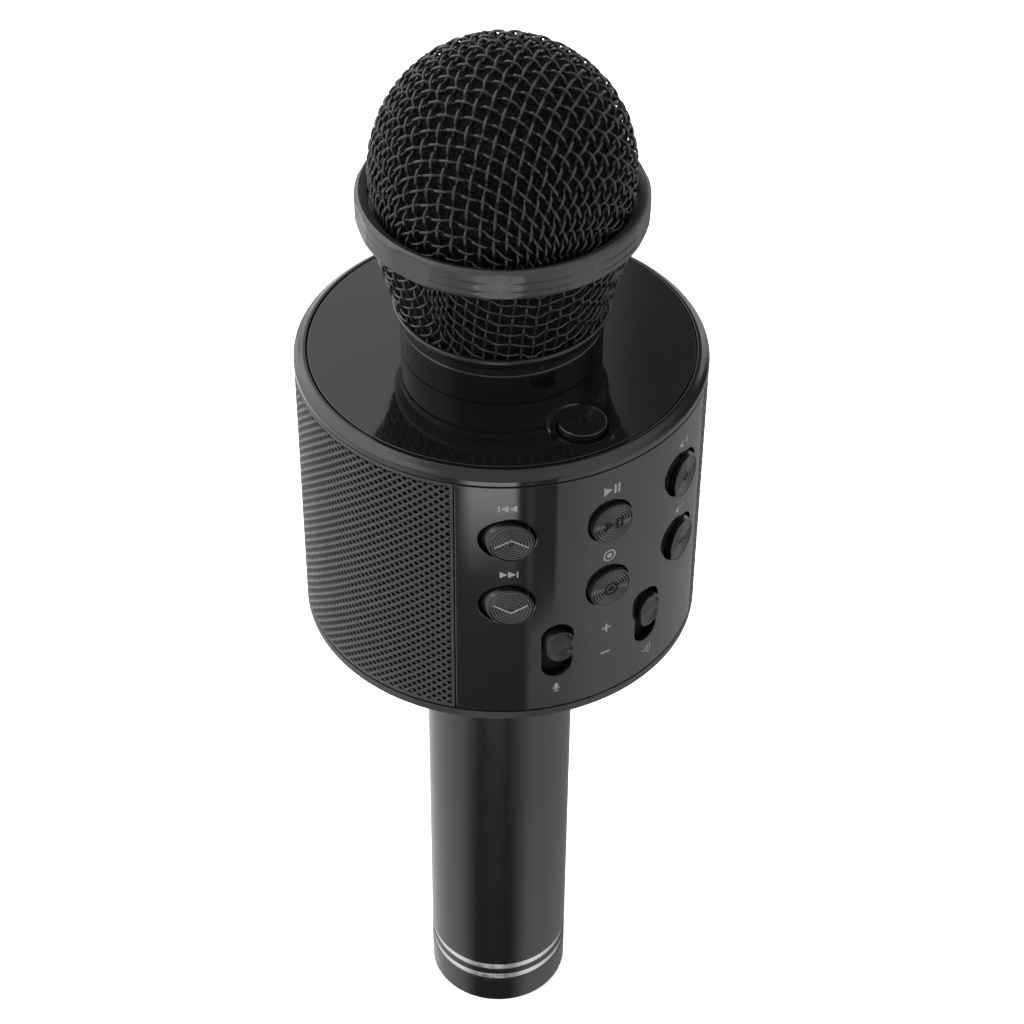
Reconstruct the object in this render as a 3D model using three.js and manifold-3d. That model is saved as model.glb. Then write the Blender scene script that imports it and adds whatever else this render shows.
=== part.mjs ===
// Karaoke microphone: a drum-shaped loudspeaker body on a tubular handle, with a wire-mesh head on top.
// Millimetres, +Z up. The origin is the centre of the handle's flat end, and the control panel faces -Y.
// Angles around the drum are azimuths: 0 is -Y, and they grow towards +X.
import * as THREE from 'three';
import { mergeVertices } from 'three/addons/utils/BufferGeometryUtils.js';
import Module from 'manifold-3d';

const wasm = await Module();
wasm.setup();

// ---------------------------------------------------------------- driving dimensions
const GAP = 0.3; // between neighbouring pieces

const HANDLE_RADIUS = 14.3;
const HANDLE_BORE = 12.8;
const HANDLE_TOP = 121; // the tube's upper end, inside the drum's socket
const BAND_ZS = [7.95, 11.05]; // middles of the two bright-cut bands
const BAND_HEIGHT = 1.7;
const BAND_DEPTH = 0.2;

const DRUM_RADIUS = 37;
const DRUM_BOTTOM = 109.9;
const COVER_TOP = 111.7; // rim of the bottom cover
const WALL_BOTTOM = COVER_TOP + GAP; // panel, grille and housing stand on the cover
const WALL_TOP = 165;
const BEZEL_BOTTOM = WALL_TOP + GAP;
const PLATE_TOP = 167.7;
const PLATE_RADIUS = 34.5;
const SHELL_INNER = 34; // inner housing that carries the speakers
const SHELL_OUTER = 35.2;

const PANEL_HALF_ANGLE = 43;
const PANEL_INNER = 35.5;
const SIDE_COLUMN_X = 17.8; // outer columns of buttons
const SLIDER_X = 9.4;
const UPPER_ROW_Z = 153.3;
const LOWER_ROW_Z = 138.3;
const BUTTON_HOLE_RADIUS = 4.35;
const BUTTON_RADIUS = 4.1;
const BUTTON_PROUD = 1.05;
const PRESS_ROOM = 0.6; // from a button's stem to its switch, a little more than the 0.5 mm press
const STEM_RADIUS = 1.5;
const SLOT_MIDDLE_Z = 125.85;
const SLOT_WIDTH = 5.5;
const SLOT_HEIGHT = 12.5;
const KNOB_Z = 127.7; // the sliders rest near the top of their slots
const KNOB_WIDTH = 4.9;
const KNOB_HEIGHT = 6.9;
const KNOB_PROUD = 1.2;

const POWER_Y = -27;
const POWER_RADIUS = 4.25;
const POWER_TOP = 168.7;

const SPEAKER_Z = 138.3;
const SPEAKER_RADIUS = 20;
const SPEAKER_FRONT = 26.4; // distance of each speaker's rim from the axis

const NECK_RADIUS = 18;
const NECK_TOP = 174;
const THREAD_RADIUS = 16.5;
const THREAD_TOP = 183;
const COLLAR_TOP = 178;
const RING_BOTTOM = 194.9;
const RING_TOP = 200.6;
const RING_RADIUS = 25.25;
const RING_FLATS = 10;
const RING_FLAT_DISTANCE = 24.9; // axis to each anti-roll flat
const RING_CORNER_AZIMUTH = -14;
const DOME_RADIUS = 23;
const DOME_CENTRE_Z = 204.3;
const MESH_THICKNESS = 0.9;

const BOARD_FRONT_Y = -23; // control board's face, behind the panel
const BOARD_THICKNESS = 1.6;

// ---------------------------------------------------------------- materials
const paint = (color, roughness, metalness = 0) =>
  new THREE.MeshStandardMaterial({ color, roughness, metalness });
const MATERIALS = {
  anodised: paint(0x1b1b1d, 0.42, 0.9),
  satinRing: paint(0x2a2a2c, 0.38, 0.9),
  gloss: paint(0x0c0c0e, 0.08),
  satinPlastic: paint(0x161618, 0.45),
  innerPlastic: paint(0x202022, 0.6),
  buttonPlastic: paint(0x2b2b2d, 0.4),
  grille: paint(0x45464a, 0.4, 0.8),
  wire: paint(0x5a5a5c, 0.35, 0.9),
  steel: paint(0x9a9ca0, 0.35, 1),
  foam: paint(0x0b0b0b, 0.95),
  cloth: paint(0x0d0d0e, 0.95),
  board: paint(0x14532d, 0.5),
  battery: paint(0x2f6fa8, 0.4),
  magnet: paint(0x303134, 0.6, 0.4),
  paper: paint(0x18181a, 0.9),
  rubber: paint(0x111111, 0.8),
  led: paint(0xd8352b, 0.3),
  cable: paint(0x7a1d1d, 0.5),
};

// ---------------------------------------------------------------- solids
const rad = THREE.MathUtils.degToRad;

// One closed mesh with merged corners, no slivers of zero width, and its faces pointing out.
function closed(geometry) {
  geometry.deleteAttribute('normal');
  geometry.deleteAttribute('uv');
  const merged = mergeVertices(geometry, 1e-4);
  const corners = merged.getAttribute('position');
  const index = merged.getIndex().array;
  const kept = [];
  const [a, b, c] = [new THREE.Vector3(), new THREE.Vector3(), new THREE.Vector3()];
  let volume = 0;
  for (let i = 0; i < index.length; i += 3) {
    const [p, q, r] = [index[i], index[i + 1], index[i + 2]];
    if (p === q || q === r || r === p) continue;
    kept.push(p, q, r);
    a.fromBufferAttribute(corners, p);
    b.fromBufferAttribute(corners, q);
    c.fromBufferAttribute(corners, r);
    volume += a.dot(b.cross(c));
  }
  if (volume < 0) kept.reverse();
  merged.setIndex(kept);
  return merged;
}

function solidOf(geometry) {
  const mesh = closed(geometry);
  return new wasm.Manifold(new wasm.Mesh({
    numProp: 3,
    vertProperties: new Float32Array(mesh.getAttribute('position').array),
    triVerts: new Uint32Array(mesh.getIndex().array),
  }));
}

function geometryOf(solid) {
  const mesh = solid.getMesh();
  const geometry = new THREE.BufferGeometry();
  geometry.setAttribute('position', new THREE.BufferAttribute(mesh.vertProperties, mesh.numProp));
  geometry.setIndex(new THREE.BufferAttribute(mesh.triVerts, 1));
  return geometry;
}

function cut(geometry, ...tools) {
  return geometryOf(tools.reduce((solid, tool) => solid.subtract(solidOf(tool)), solidOf(geometry)));
}

function join(geometry, ...others) {
  return geometryOf(others.reduce((solid, other) => solid.add(solidOf(other)), solidOf(geometry)));
}

function overlap(geometry, other) {
  return geometryOf(solidOf(geometry).intersect(solidOf(other)));
}

// A [radius, z] outline turned about the Z axis. The outline closes on itself.
function turned(outline, sides = 40) {
  const points = [...outline, outline[0]].map(([r, z]) => new THREE.Vector2(r, z));
  return closed(new THREE.LatheGeometry(points, sides).rotateX(Math.PI / 2));
}

const tube = (inner, outer, z0, z1, sides) =>
  turned([[inner, z0], [outer, z0], [outer, z1], [inner, z1]], sides);
const rod = (radius, z0, z1, sides = 24) =>
  closed(new THREE.CylinderGeometry(radius, radius, z1 - z0, sides)
    .rotateX(Math.PI / 2).translate(0, 0, (z0 + z1) / 2));
const slab = (x0, x1, y0, y1, z0, z1) =>
  closed(new THREE.BoxGeometry(x1 - x0, y1 - y0, z1 - z0)
    .translate((x0 + x1) / 2, (y0 + y1) / 2, (z0 + z1) / 2));

// A slice of a tube between two azimuths, standing on z0.
function arcWall(inner, outer, from, to, z0, z1, segments) {
  const [start, end] = [rad(from - 90), rad(to - 90)];
  const shape = new THREE.Shape();
  shape.absarc(0, 0, outer, start, end, false);
  shape.absarc(0, 0, inner, end, start, true);
  return closed(new THREE.ExtrudeGeometry(shape, {
    depth: z1 - z0, bevelEnabled: false, curveSegments: segments / 2,
  }).translate(0, 0, z0));
}

// An upright slot outline with round ends, pushed along Z from z0 to z1.
function stadium(width, height, z0, z1) {
  const shape = new THREE.Shape();
  const reach = (height - width) / 2;
  shape.absarc(0, reach, width / 2, 0, Math.PI, false);
  shape.absarc(0, -reach, width / 2, Math.PI, 2 * Math.PI, false);
  return closed(new THREE.ExtrudeGeometry(shape, {
    depth: z1 - z0, bevelEnabled: false, curveSegments: 5,
  }).translate(0, 0, z0));
}

// A round hole's cutter along Y.
const drill = (radius, x, z, y0, y1, sides = 20) =>
  closed(new THREE.CylinderGeometry(radius, radius, y1 - y0, sides).translate(x, (y0 + y1) / 2, z));

// Leans a piece made with its face square to Z onto the panel at column x. Its face lies flat against
// the drum's curve, while its sides and stem run along Y, which is the way that every control moves.
function leanOntoPanel(geometry, x, z) {
  const azimuth = Math.asin(x / DRUM_RADIUS);
  const across = new THREE.Vector3(Math.cos(azimuth), Math.sin(azimuth), 0);
  const outward = new THREE.Vector3(0, -1 / Math.cos(azimuth), 0);
  const foot = new THREE.Vector3(x, -DRUM_RADIUS * Math.cos(azimuth), z);
  const matrix = new THREE.Matrix4()
    .makeBasis(across, new THREE.Vector3(0, 0, 1), outward)
    .setPosition(foot);
  return closed(geometry.applyMatrix4(matrix));
}

// The height, in leanOntoPanel's outline, of a point at azimuth whose Y is given.
const depthOnPanel = (azimuth, y) => -(y + DRUM_RADIUS * Math.cos(azimuth)) * Math.cos(azimuth);

// A round lead along a smooth path.
function lead(points, radius, steps) {
  const circle = new THREE.Shape().absarc(0, 0, radius, 0, 2 * Math.PI, false);
  const path = new THREE.CatmullRomCurve3(points.map((p) => new THREE.Vector3(...p)));
  return closed(new THREE.ExtrudeGeometry(circle, {
    steps, bevelEnabled: false, curveSegments: 3, extrudePath: path,
  }));
}

// ---------------------------------------------------------------- the assembly
const microphone = new THREE.Group();

function add(name, geometry, material, parent = microphone) {
  const mesh = new THREE.Mesh(geometry, material);
  mesh.name = name;
  parent.add(mesh);
  return mesh;
}

// ---------------------------------------------------------------- handle
function handleTube() {
  const outline = [
    [HANDLE_BORE, 0], [HANDLE_RADIUS - 0.7, 0], [HANDLE_RADIUS - 0.2, 0.2], [HANDLE_RADIUS, 0.7],
  ];
  for (const z of BAND_ZS) {
    const [low, high] = [z - BAND_HEIGHT / 2, z + BAND_HEIGHT / 2];
    const floor = HANDLE_RADIUS - BAND_DEPTH;
    outline.push([HANDLE_RADIUS, low], [floor, low + 0.2], [floor, high - 0.2], [HANDLE_RADIUS, high]);
  }
  outline.push([HANDLE_RADIUS, HANDLE_TOP], [HANDLE_BORE, HANDLE_TOP]);
  return turned(outline, 32);
}

const SOCKET_BOTTOM = 2 + GAP; // the connectors stand behind the end cap's 2 mm floor
const SOCKET_TOP = 8.1;
const CARD_Y = 6.4;
const USB_Y = -6.2;
const AUX_X = -7.3;
const LED_X = 7;

function endCap() {
  const radius = HANDLE_BORE - GAP;
  const cup = turned([
    [0, 0], [radius - 0.3, 0], [radius, 0.3], [radius, 10],
    [radius - 1.3, 10], [radius - 1.3, 2], [0, 2],
  ], 28);
  return cut(
    cup,
    slab(-4.1, 4.1, USB_Y - 1.6, USB_Y + 1.6, -1, 3),
    slab(-6.3, 6.3, CARD_Y - 0.95, CARD_Y + 0.95, -1, 3),
    rod(1.8, -1, 3, 20).translate(AUX_X, 0, 0),
    rod(1.15, -1, 3, 14).translate(LED_X, 0, 0),
  );
}

function usbSocket() {
  const shell = cut(
    slab(-3.8, 3.8, USB_Y - 1.4, USB_Y + 1.4, SOCKET_BOTTOM, SOCKET_TOP),
    slab(-3.45, 3.45, USB_Y - 1.05, USB_Y + 1.05, 0, 7.3),
  );
  return join(shell, slab(-2.4, 2.4, USB_Y - 0.3, USB_Y + 0.3, 3, 7.6));
}

const auxJack = () => cut(
  slab(AUX_X - 3, AUX_X + 3, -3, 3, SOCKET_BOTTOM, SOCKET_TOP),
  rod(1.75, 0, 7.5, 20).translate(AUX_X, 0, 0),
);
const cardSocket = () => cut(
  slab(-6.6, 6.6, CARD_Y - 1, CARD_Y + 1, SOCKET_BOTTOM, SOCKET_TOP),
  slab(-5.8, 5.8, CARD_Y - 0.6, CARD_Y + 0.6, 0, 7),
);

const CELL_BOTTOM = 17.3;
const CELL_TOP = CELL_BOTTOM + 65;
const LOOM_Y = 11; // the loom runs up between the cell and the tube

const batteryCell = () => turned([
  [0, CELL_BOTTOM], [8.8, CELL_BOTTOM], [9.2, CELL_BOTTOM + 0.6], [9.2, CELL_TOP - 2],
  [8.9, CELL_TOP - 1.4], [3.2, CELL_TOP - 1.4], [3.2, CELL_TOP], [0, CELL_TOP],
], 20);
const batteryPad = (z) => cut(rod(HANDLE_BORE - 0.4, z, z + 3, 28), slab(-1.5, 1.5, 8.6, 14, z - 1, z + 4));

function handleParts() {
  add('handle_tube', handleTube(), MATERIALS.anodised);
  add('end_cap', endCap(), MATERIALS.satinPlastic);
  add('port_board', rod(10.8, SOCKET_TOP + GAP, SOCKET_TOP + GAP + 1.4, 28), MATERIALS.board);
  add('usb_socket', usbSocket(), MATERIALS.steel);
  add('aux_jack', auxJack(), MATERIALS.innerPlastic);
  add('card_socket', cardSocket(), MATERIALS.steel);
  add('charge_led', rod(0.8, 0.4, SOCKET_TOP, 12).translate(LED_X, 0, 0), MATERIALS.led);
  add('battery_cell', batteryCell(), MATERIALS.battery);
  add('battery_pad_lower', batteryPad(CELL_BOTTOM - GAP - 3), MATERIALS.foam);
  add('battery_pad_upper', batteryPad(CELL_TOP + GAP), MATERIALS.foam);
  add('battery_loom', lead([
    [0, 8.2, 10.9], [0, 9.6, 12.9], [0, LOOM_Y, 16.5], [0, LOOM_Y, 50], [0, LOOM_Y, 85], [0, LOOM_Y, 114],
    [0, 11.6, 121.5], [0, 14.5, 127], [0, 18.2, 129.6], [0, 21.6, 130],
  ], 0.9, 32), MATERIALS.cable);
}

// ---------------------------------------------------------------- drum: covers and shells
const SCREW_AZIMUTHS = [-60, 60, 180];
const SCREW_CIRCLE = 30.5;
const SCREW_HEAD_TOP = 111.5;
const POST_TOP = 119;

const around = (azimuth, radius) => [radius * Math.sin(rad(azimuth)), -radius * Math.cos(rad(azimuth)), 0];

function bottomCover() {
  const socket = HANDLE_RADIUS + GAP;
  const cover = turned([
    [socket, DRUM_BOTTOM], [DRUM_RADIUS - 0.7, DRUM_BOTTOM], [DRUM_RADIUS - 0.2, DRUM_BOTTOM + 0.2],
    [DRUM_RADIUS, DRUM_BOTTOM + 0.7], [DRUM_RADIUS, COVER_TOP], [33.4, COVER_TOP], [33.4, COVER_TOP + 0.8],
    [17.4, COVER_TOP + 0.8], [17.4, HANDLE_TOP + 1], [socket, HANDLE_TOP + 1],
  ]);
  const holes = SCREW_AZIMUTHS.flatMap((azimuth) => [
    rod(2.7, DRUM_BOTTOM - 1, SCREW_HEAD_TOP + 0.2, 16).translate(...around(azimuth, SCREW_CIRCLE)),
    rod(1.5, DRUM_BOTTOM - 1, COVER_TOP + 2, 10).translate(...around(azimuth, SCREW_CIRCLE)),
  ]);
  return cut(cover, ...holes);
}

// A pan-head screw with a cross recess, driven in from below.
function coverScrew(azimuth) {
  const body = turned([
    [0, SCREW_HEAD_TOP - 1.4], [1.6, SCREW_HEAD_TOP - 1.4],
    [2.3, SCREW_HEAD_TOP - 0.9], [2.3, SCREW_HEAD_TOP],
    [1.05, SCREW_HEAD_TOP], [1.05, 116.6], [0.3, 117.4], [0, 117.4],
  ], 12);
  const recess = (x, y) => slab(-x, x, -y, y, SCREW_HEAD_TOP - 2, SCREW_HEAD_TOP - 0.7);
  return cut(body, recess(1.2, 0.25), recess(0.25, 1.2)).translate(...around(azimuth, SCREW_CIRCLE));
}

// A drill along X, for the speaker openings on both sides.
const sideDrill = (radius, x0, x1, sides = 24) =>
  closed(new THREE.CylinderGeometry(radius, radius, x1 - x0, sides)
    .rotateZ(Math.PI / 2).translate((x0 + x1) / 2, 0, SPEAKER_Z));

function speakerHousing() {
  const shell = turned([
    [SHELL_INNER, WALL_BOTTOM], [SHELL_OUTER, WALL_BOTTOM], [SHELL_OUTER, WALL_TOP],
    [SHELL_INNER - 0.8, WALL_TOP], [SHELL_INNER - 0.8, WALL_TOP - 1.6], [SHELL_INNER, WALL_TOP - 1.6],
  ], 48);
  const inside = rod(SHELL_OUTER - 0.3, WALL_BOTTOM, WALL_TOP, 48);
  const seats = [-1, 1].map((side) => overlap(
    side > 0
      ? sideDrill(SPEAKER_RADIUS + 0.3, SPEAKER_FRONT + GAP, 40)
      : sideDrill(SPEAKER_RADIUS + 0.3, -40, -SPEAKER_FRONT - GAP),
    inside,
  ));
  const posts = SCREW_AZIMUTHS.map((azimuth) =>
    rod(3.9, COVER_TOP + 1.1, POST_TOP, 12).translate(...around(azimuth, SCREW_CIRCLE)));
  const screwHoles = SCREW_AZIMUTHS.map((azimuth) =>
    rod(1.4, COVER_TOP, POST_TOP - 1, 10).translate(...around(azimuth, SCREW_CIRCLE)));
  const window = arcWall(20, 45, -41.5, 41.5, 114, 162, 16);
  return cut(
    join(shell, ...seats, ...posts),
    sideDrill(SPEAKER_RADIUS - 1.8, 20, 45),
    sideDrill(SPEAKER_RADIUS - 1.8, -45, -20),
    window,
    ...screwHoles,
  );
}

function controlPanel() {
  const wall = arcWall(
    PANEL_INNER, DRUM_RADIUS, -PANEL_HALF_ANGLE, PANEL_HALF_ANGLE, WALL_BOTTOM, WALL_TOP, 24,
  );
  const holes = [-SIDE_COLUMN_X, 0, SIDE_COLUMN_X].flatMap((x) =>
    [UPPER_ROW_Z, LOWER_ROW_Z].map((z) => drill(BUTTON_HOLE_RADIUS, x, z, -45, -20)));
  const slots = [-SLIDER_X, SLIDER_X].map((x) =>
    stadium(SLOT_WIDTH, SLOT_HEIGHT, 20, 45).rotateX(Math.PI / 2).translate(x, 0, SLOT_MIDDLE_Z));
  return cut(wall, ...holes, ...slots);
}

function bezelRing() {
  const inner = PLATE_RADIUS + GAP;
  return turned([
    [inner, BEZEL_BOTTOM], [DRUM_RADIUS, BEZEL_BOTTOM], [DRUM_RADIUS, 165.9], [DRUM_RADIUS - 0.7, 167],
    [inner, PLATE_TOP],
  ], 56);
}

function topPlate() {
  const dishOutline = [[0, PLATE_TOP - 0.5], [5.2, PLATE_TOP - 0.5], [6.6, PLATE_TOP + 0.1], [0, PLATE_TOP + 0.1]];
  const dish = turned(dishOutline, 24);
  return cut(
    turned([
      [THREAD_RADIUS + 0.7, BEZEL_BOTTOM], [PLATE_RADIUS, BEZEL_BOTTOM], [PLATE_RADIUS, PLATE_TOP],
      [THREAD_RADIUS + 0.7, PLATE_TOP],
    ], 56),
    dish.translate(0, POWER_Y, 0),
    rod(POWER_RADIUS + GAP, BEZEL_BOTTOM - 1, PLATE_TOP + 1, 24).translate(0, POWER_Y, 0),
  );
}

function drumShells() {
  add('bottom_cover', bottomCover(), MATERIALS.satinPlastic);
  SCREW_AZIMUTHS.forEach((azimuth, i) => add(`bottom_screw_${i + 1}`, coverScrew(azimuth), MATERIALS.steel));
  add('speaker_housing', speakerHousing(), MATERIALS.innerPlastic);
  const wrapFrom = PANEL_HALF_ANGLE + 0.5;
  add('grille_cloth', arcWall(
    SHELL_OUTER + GAP, SHELL_OUTER + 0.7, wrapFrom, 360 - wrapFrom, WALL_BOTTOM, WALL_TOP, 36,
  ), MATERIALS.cloth);
  add('grille_wrap', arcWall(
    DRUM_RADIUS - 0.8, DRUM_RADIUS, wrapFrom, 360 - wrapFrom, WALL_BOTTOM, WALL_TOP, 48,
  ), MATERIALS.grille);
  add('control_panel', controlPanel(), MATERIALS.gloss);
  add('bezel_ring', bezelRing(), MATERIALS.gloss);
  add('top_plate', topPlate(), MATERIALS.gloss);
}

// ---------------------------------------------------------------- controls
const PLUNGER_TIP_Y = -26.9;
const FLANGE_DEPTH = -2.2; // the retaining flange stays behind the panel

function pressButton(x, z) {
  const azimuth = Math.asin(x / DRUM_RADIUS);
  const stemTipY = PLUNGER_TIP_Y - PRESS_ROOM - STEM_RADIUS * Math.abs(Math.sin(azimuth));
  const stemEnd = depthOnPanel(azimuth, stemTipY);
  const cap = turned([
    [0, stemEnd], [STEM_RADIUS, stemEnd], [STEM_RADIUS, FLANGE_DEPTH - 1], [5.1, FLANGE_DEPTH - 1],
    [5.1, FLANGE_DEPTH],
    [BUTTON_RADIUS, FLANGE_DEPTH], [BUTTON_RADIUS, BUTTON_PROUD - 0.35],
    [BUTTON_RADIUS - 0.35, BUTTON_PROUD],
    [0, BUTTON_PROUD],
  ], 18);
  return leanOntoPanel(cap, x, z);
}

// A finger slide: a capped stadium outside the panel, a dust plate behind it, and a lever into the pot.
function sliderKnob(x) {
  const azimuth = Math.asin(x / DRUM_RADIUS);
  const leverEnd = depthOnPanel(azimuth, -27.3);
  const cap = stadium(KNOB_WIDTH, KNOB_HEIGHT, -2.5, KNOB_PROUD);
  const dustPlate = slab(-3.6, 3.6, -8.9, 8.9, -2.9, -2.1);
  const lever = slab(-0.8, 0.8, -1.5, 1.5, leverEnd, -2.5);
  return leanOntoPanel(join(cap, dustPlate, lever), x, KNOB_Z);
}

function tactSwitch(x, z) {
  const front = BOARD_FRONT_Y - GAP;
  return join(
    slab(x - 3, x + 3, front - 3.1, front, z - 3, z + 3),
    drill(1.7, x, z, PLUNGER_TIP_Y, front - 1, 12),
  );
}

function slidePot(x) {
  const front = BOARD_FRONT_Y - GAP;
  return cut(
    slab(x - 3.4, x + 3.4, front - 5.7, front, SLOT_MIDDLE_Z - 11, SLOT_MIDDLE_Z + 11),
    slab(x - 1.3, x + 1.3, front - 6, front - 2.7, KNOB_Z - 6.6, KNOB_Z + 3),
  );
}

function powerButton() {
  const shoulder = BEZEL_BOTTOM - 0.4;
  return turned([
    [0, 162.6], [STEM_RADIUS, 162.6], [STEM_RADIUS, shoulder - 1], [5.3, shoulder - 1], [5.3, shoulder],
    [POWER_RADIUS, shoulder], [POWER_RADIUS, POWER_TOP - 0.35],
    [POWER_RADIUS - 0.35, POWER_TOP], [0, POWER_TOP],
  ], 20).translate(0, POWER_Y, 0);
}

const BUTTON_PLACES = {
  previous: [-SIDE_COLUMN_X, UPPER_ROW_Z],
  next: [-SIDE_COLUMN_X, LOWER_ROW_Z],
  play: [0, UPPER_ROW_Z],
  record: [0, LOWER_ROW_Z],
  volume_up: [SIDE_COLUMN_X, UPPER_ROW_Z],
  volume_down: [SIDE_COLUMN_X, LOWER_ROW_Z],
};

function controls() {
  add('control_board', slab(
    -23.5, 23.5, BOARD_FRONT_Y, BOARD_FRONT_Y + BOARD_THICKNESS, 114.5, 156.6,
  ), MATERIALS.board);
  for (const [name, [x, z]] of Object.entries(BUTTON_PLACES)) {
    add(`${name}_button`, pressButton(x, z), MATERIALS.buttonPlastic);
    add(`${name}_switch`, tactSwitch(x, z), MATERIALS.innerPlastic);
  }
  for (const [name, x] of [['mic_volume', -SLIDER_X], ['remix', SLIDER_X]]) {
    add(`${name}_knob`, sliderKnob(x), MATERIALS.buttonPlastic);
    add(`${name}_pot`, slidePot(x), MATERIALS.steel);
  }
  add('power_button', powerButton(), MATERIALS.buttonPlastic);
  add('power_board', slab(-6, 6, -32.5, -21.5, 157, 158.6), MATERIALS.board);
  add('power_switch', join(
    slab(-3, 3, POWER_Y - 3, POWER_Y + 3, 158.9, 161.4),
    rod(1.7, 161, 162, 12).translate(0, POWER_Y, 0),
  ), MATERIALS.innerPlastic);
}

// ---------------------------------------------------------------- electronics and speakers
// Each speaker's outline is [radius, distance along its own axis], with 0 at the rim's front.
const basketOutline = [
  [17.2, 0], [SPEAKER_RADIUS, 0], [SPEAKER_RADIUS, -1.5], [18.4, -1.5], [13.4, -8.6], [13.4, -10],
  [5, -10], [5, -9], [12.2, -9], [12.4, -8.4], [17.2, -1.6],
];
const magnetOutline = [[4, -10.3], [14, -10.3], [14, -17], [4, -17]];
const coneOutline = [
  [0, -4.4], [3.2, -4.9], [5.4, -6.6], [16.9, -0.9],
  [16.9, -0.3], [5.6, -5.6], [3.4, -4.1], [0, -3.6],
];

function speaker(side, name) {
  const place = (outline, sides) =>
    turned(outline, sides).rotateY(side * Math.PI / 2).translate(side * SPEAKER_FRONT, 0, SPEAKER_Z);
  add(`${name}_speaker_basket`, place(basketOutline, 22), MATERIALS.steel);
  add(`${name}_speaker_magnet`, place(magnetOutline, 20), MATERIALS.magnet);
  add(`${name}_speaker_cone`, place(coneOutline, 18), MATERIALS.paper);
}

function electronics() {
  speaker(-1, 'left');
  speaker(1, 'right');
  add('main_board', slab(-21, 21, 22, 23.6, 115, 158), MATERIALS.board);
  add('radio_module', slab(-16, -4, 19.3, 21.7, 142, 156), MATERIALS.steel);
}

// ---------------------------------------------------------------- neck and capsule
function neckParts() {
  add('neck', turned([
    [12.5, 160.5], [14.8, 160.5], [14.8, 165], [16.9, 165], [16.9, PLATE_TOP + GAP],
    [NECK_RADIUS, PLATE_TOP + GAP], [NECK_RADIUS, NECK_TOP - 0.4], [NECK_RADIUS - 0.4, NECK_TOP],
    [THREAD_RADIUS, NECK_TOP], [THREAD_RADIUS, THREAD_TOP], [12.5, THREAD_TOP],
  ], 32), MATERIALS.gloss);
  add('neck_nut', tube(15.1, 20, 162.2, 164.7, 24), MATERIALS.steel);
  add('capsule_holder', turned([
    [1.6, THREAD_TOP + GAP], [10.8, THREAD_TOP + GAP], [10.8, 177], [12.2, 177], [12.2, THREAD_TOP + GAP],
    [15.5, THREAD_TOP + GAP], [15.5, 185], [7.8, 186], [7.8, 193], [6.3, 193], [6.3, 187], [1.6, 187],
  ], 20), MATERIALS.innerPlastic);
  add('capsule_grommet', tube(5.15, 6, 187.3, 195, 18), MATERIALS.rubber);
  add('mic_capsule', rod(4.85, 189.3, 195.6, 18), MATERIALS.steel);
  add('mic_lead', lead([
    [0, 0, 189], [0, 0, 180], [0, 0, 168], [0, 1, 161], [0, 5, 155.5], [0, 13, 152.4], [0, 21.6, 151.5],
  ], 0.8, 20), MATERIALS.cable);
}

// ---------------------------------------------------------------- head
// Points of an arc about [0, DOME_CENTRE_Z] in the [radius, z] plane, from one elevation to another.
function domeArc(radius, from, to, steps) {
  return Array.from({ length: steps + 1 }, (_, i) => {
    const elevation = rad(from + ((to - from) * i) / steps);
    return [radius * Math.cos(elevation), DOME_CENTRE_Z + radius * Math.sin(elevation)];
  });
}

const DOME_SKIRT_BOTTOM = 196;
const SKIRT_RADIUS = 22.6;

// Half-section of the lower mesh, swelling slightly between collar and ring.
const coneCurve = new THREE.QuadraticBezierCurve(
  new THREE.Vector2(19.2, COLLAR_TOP + GAP),
  new THREE.Vector2(20.6, 184),
  new THREE.Vector2(23.9, RING_BOTTOM - GAP),
);

function coneMesh() {
  const outer = coneCurve.getPoints(4).map(({ x, y }) => [x, y]);
  const inner = outer.map(([r, z]) => [r - MESH_THICKNESS, z]).reverse();
  return turned([...outer, ...inner], 36);
}

function domeMesh() {
  const lowest = -Math.round(THREE.MathUtils.radToDeg(Math.asin((DOME_CENTRE_Z - RING_TOP) / DOME_RADIUS)));
  const outer = domeArc(DOME_RADIUS, lowest, 90, 8);
  const inner = domeArc(DOME_RADIUS - MESH_THICKNESS, 90, lowest, 6);
  return turned([
    [SKIRT_RADIUS, DOME_SKIRT_BOTTOM], ...outer,
    ...inner, [SKIRT_RADIUS - MESH_THICKNESS, DOME_SKIRT_BOTTOM],
  ], 36);
}

function headRing() {
  const bore = SKIRT_RADIUS + 0.4;
  const ring = turned([
    [bore, RING_BOTTOM], [24.6, RING_BOTTOM], [25, RING_BOTTOM + 0.5], [RING_RADIUS, 199.1],
    [RING_RADIUS, 199.9], [24.1, RING_TOP], [bore, RING_TOP],
  ], 50);
  const cornerRadius = RING_FLAT_DISTANCE / Math.cos(Math.PI / RING_FLATS);
  const flats = rod(cornerRadius, RING_BOTTOM - 1, RING_TOP + 1, RING_FLATS)
    .rotateZ(rad(RING_CORNER_AZIMUTH));
  return overlap(ring, flats);
}

// Foam bowl that lines both meshes. It is open below, where it passes over the capsule holder.
function foamLiner() {
  const lining = GAP + MESH_THICKNESS;
  const cone = coneCurve.getPoints(7).slice(3).map(({ x, y }) => [x - lining, y]);
  return turned([
    ...cone, [SKIRT_RADIUS - lining, 196], ...domeArc(DOME_RADIUS - lining, -8, 90, 6),
    ...domeArc(17.5, 90, -20, 5), [16.2, 194], [16.2, cone[0][1]],
  ], 24);
}

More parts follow.
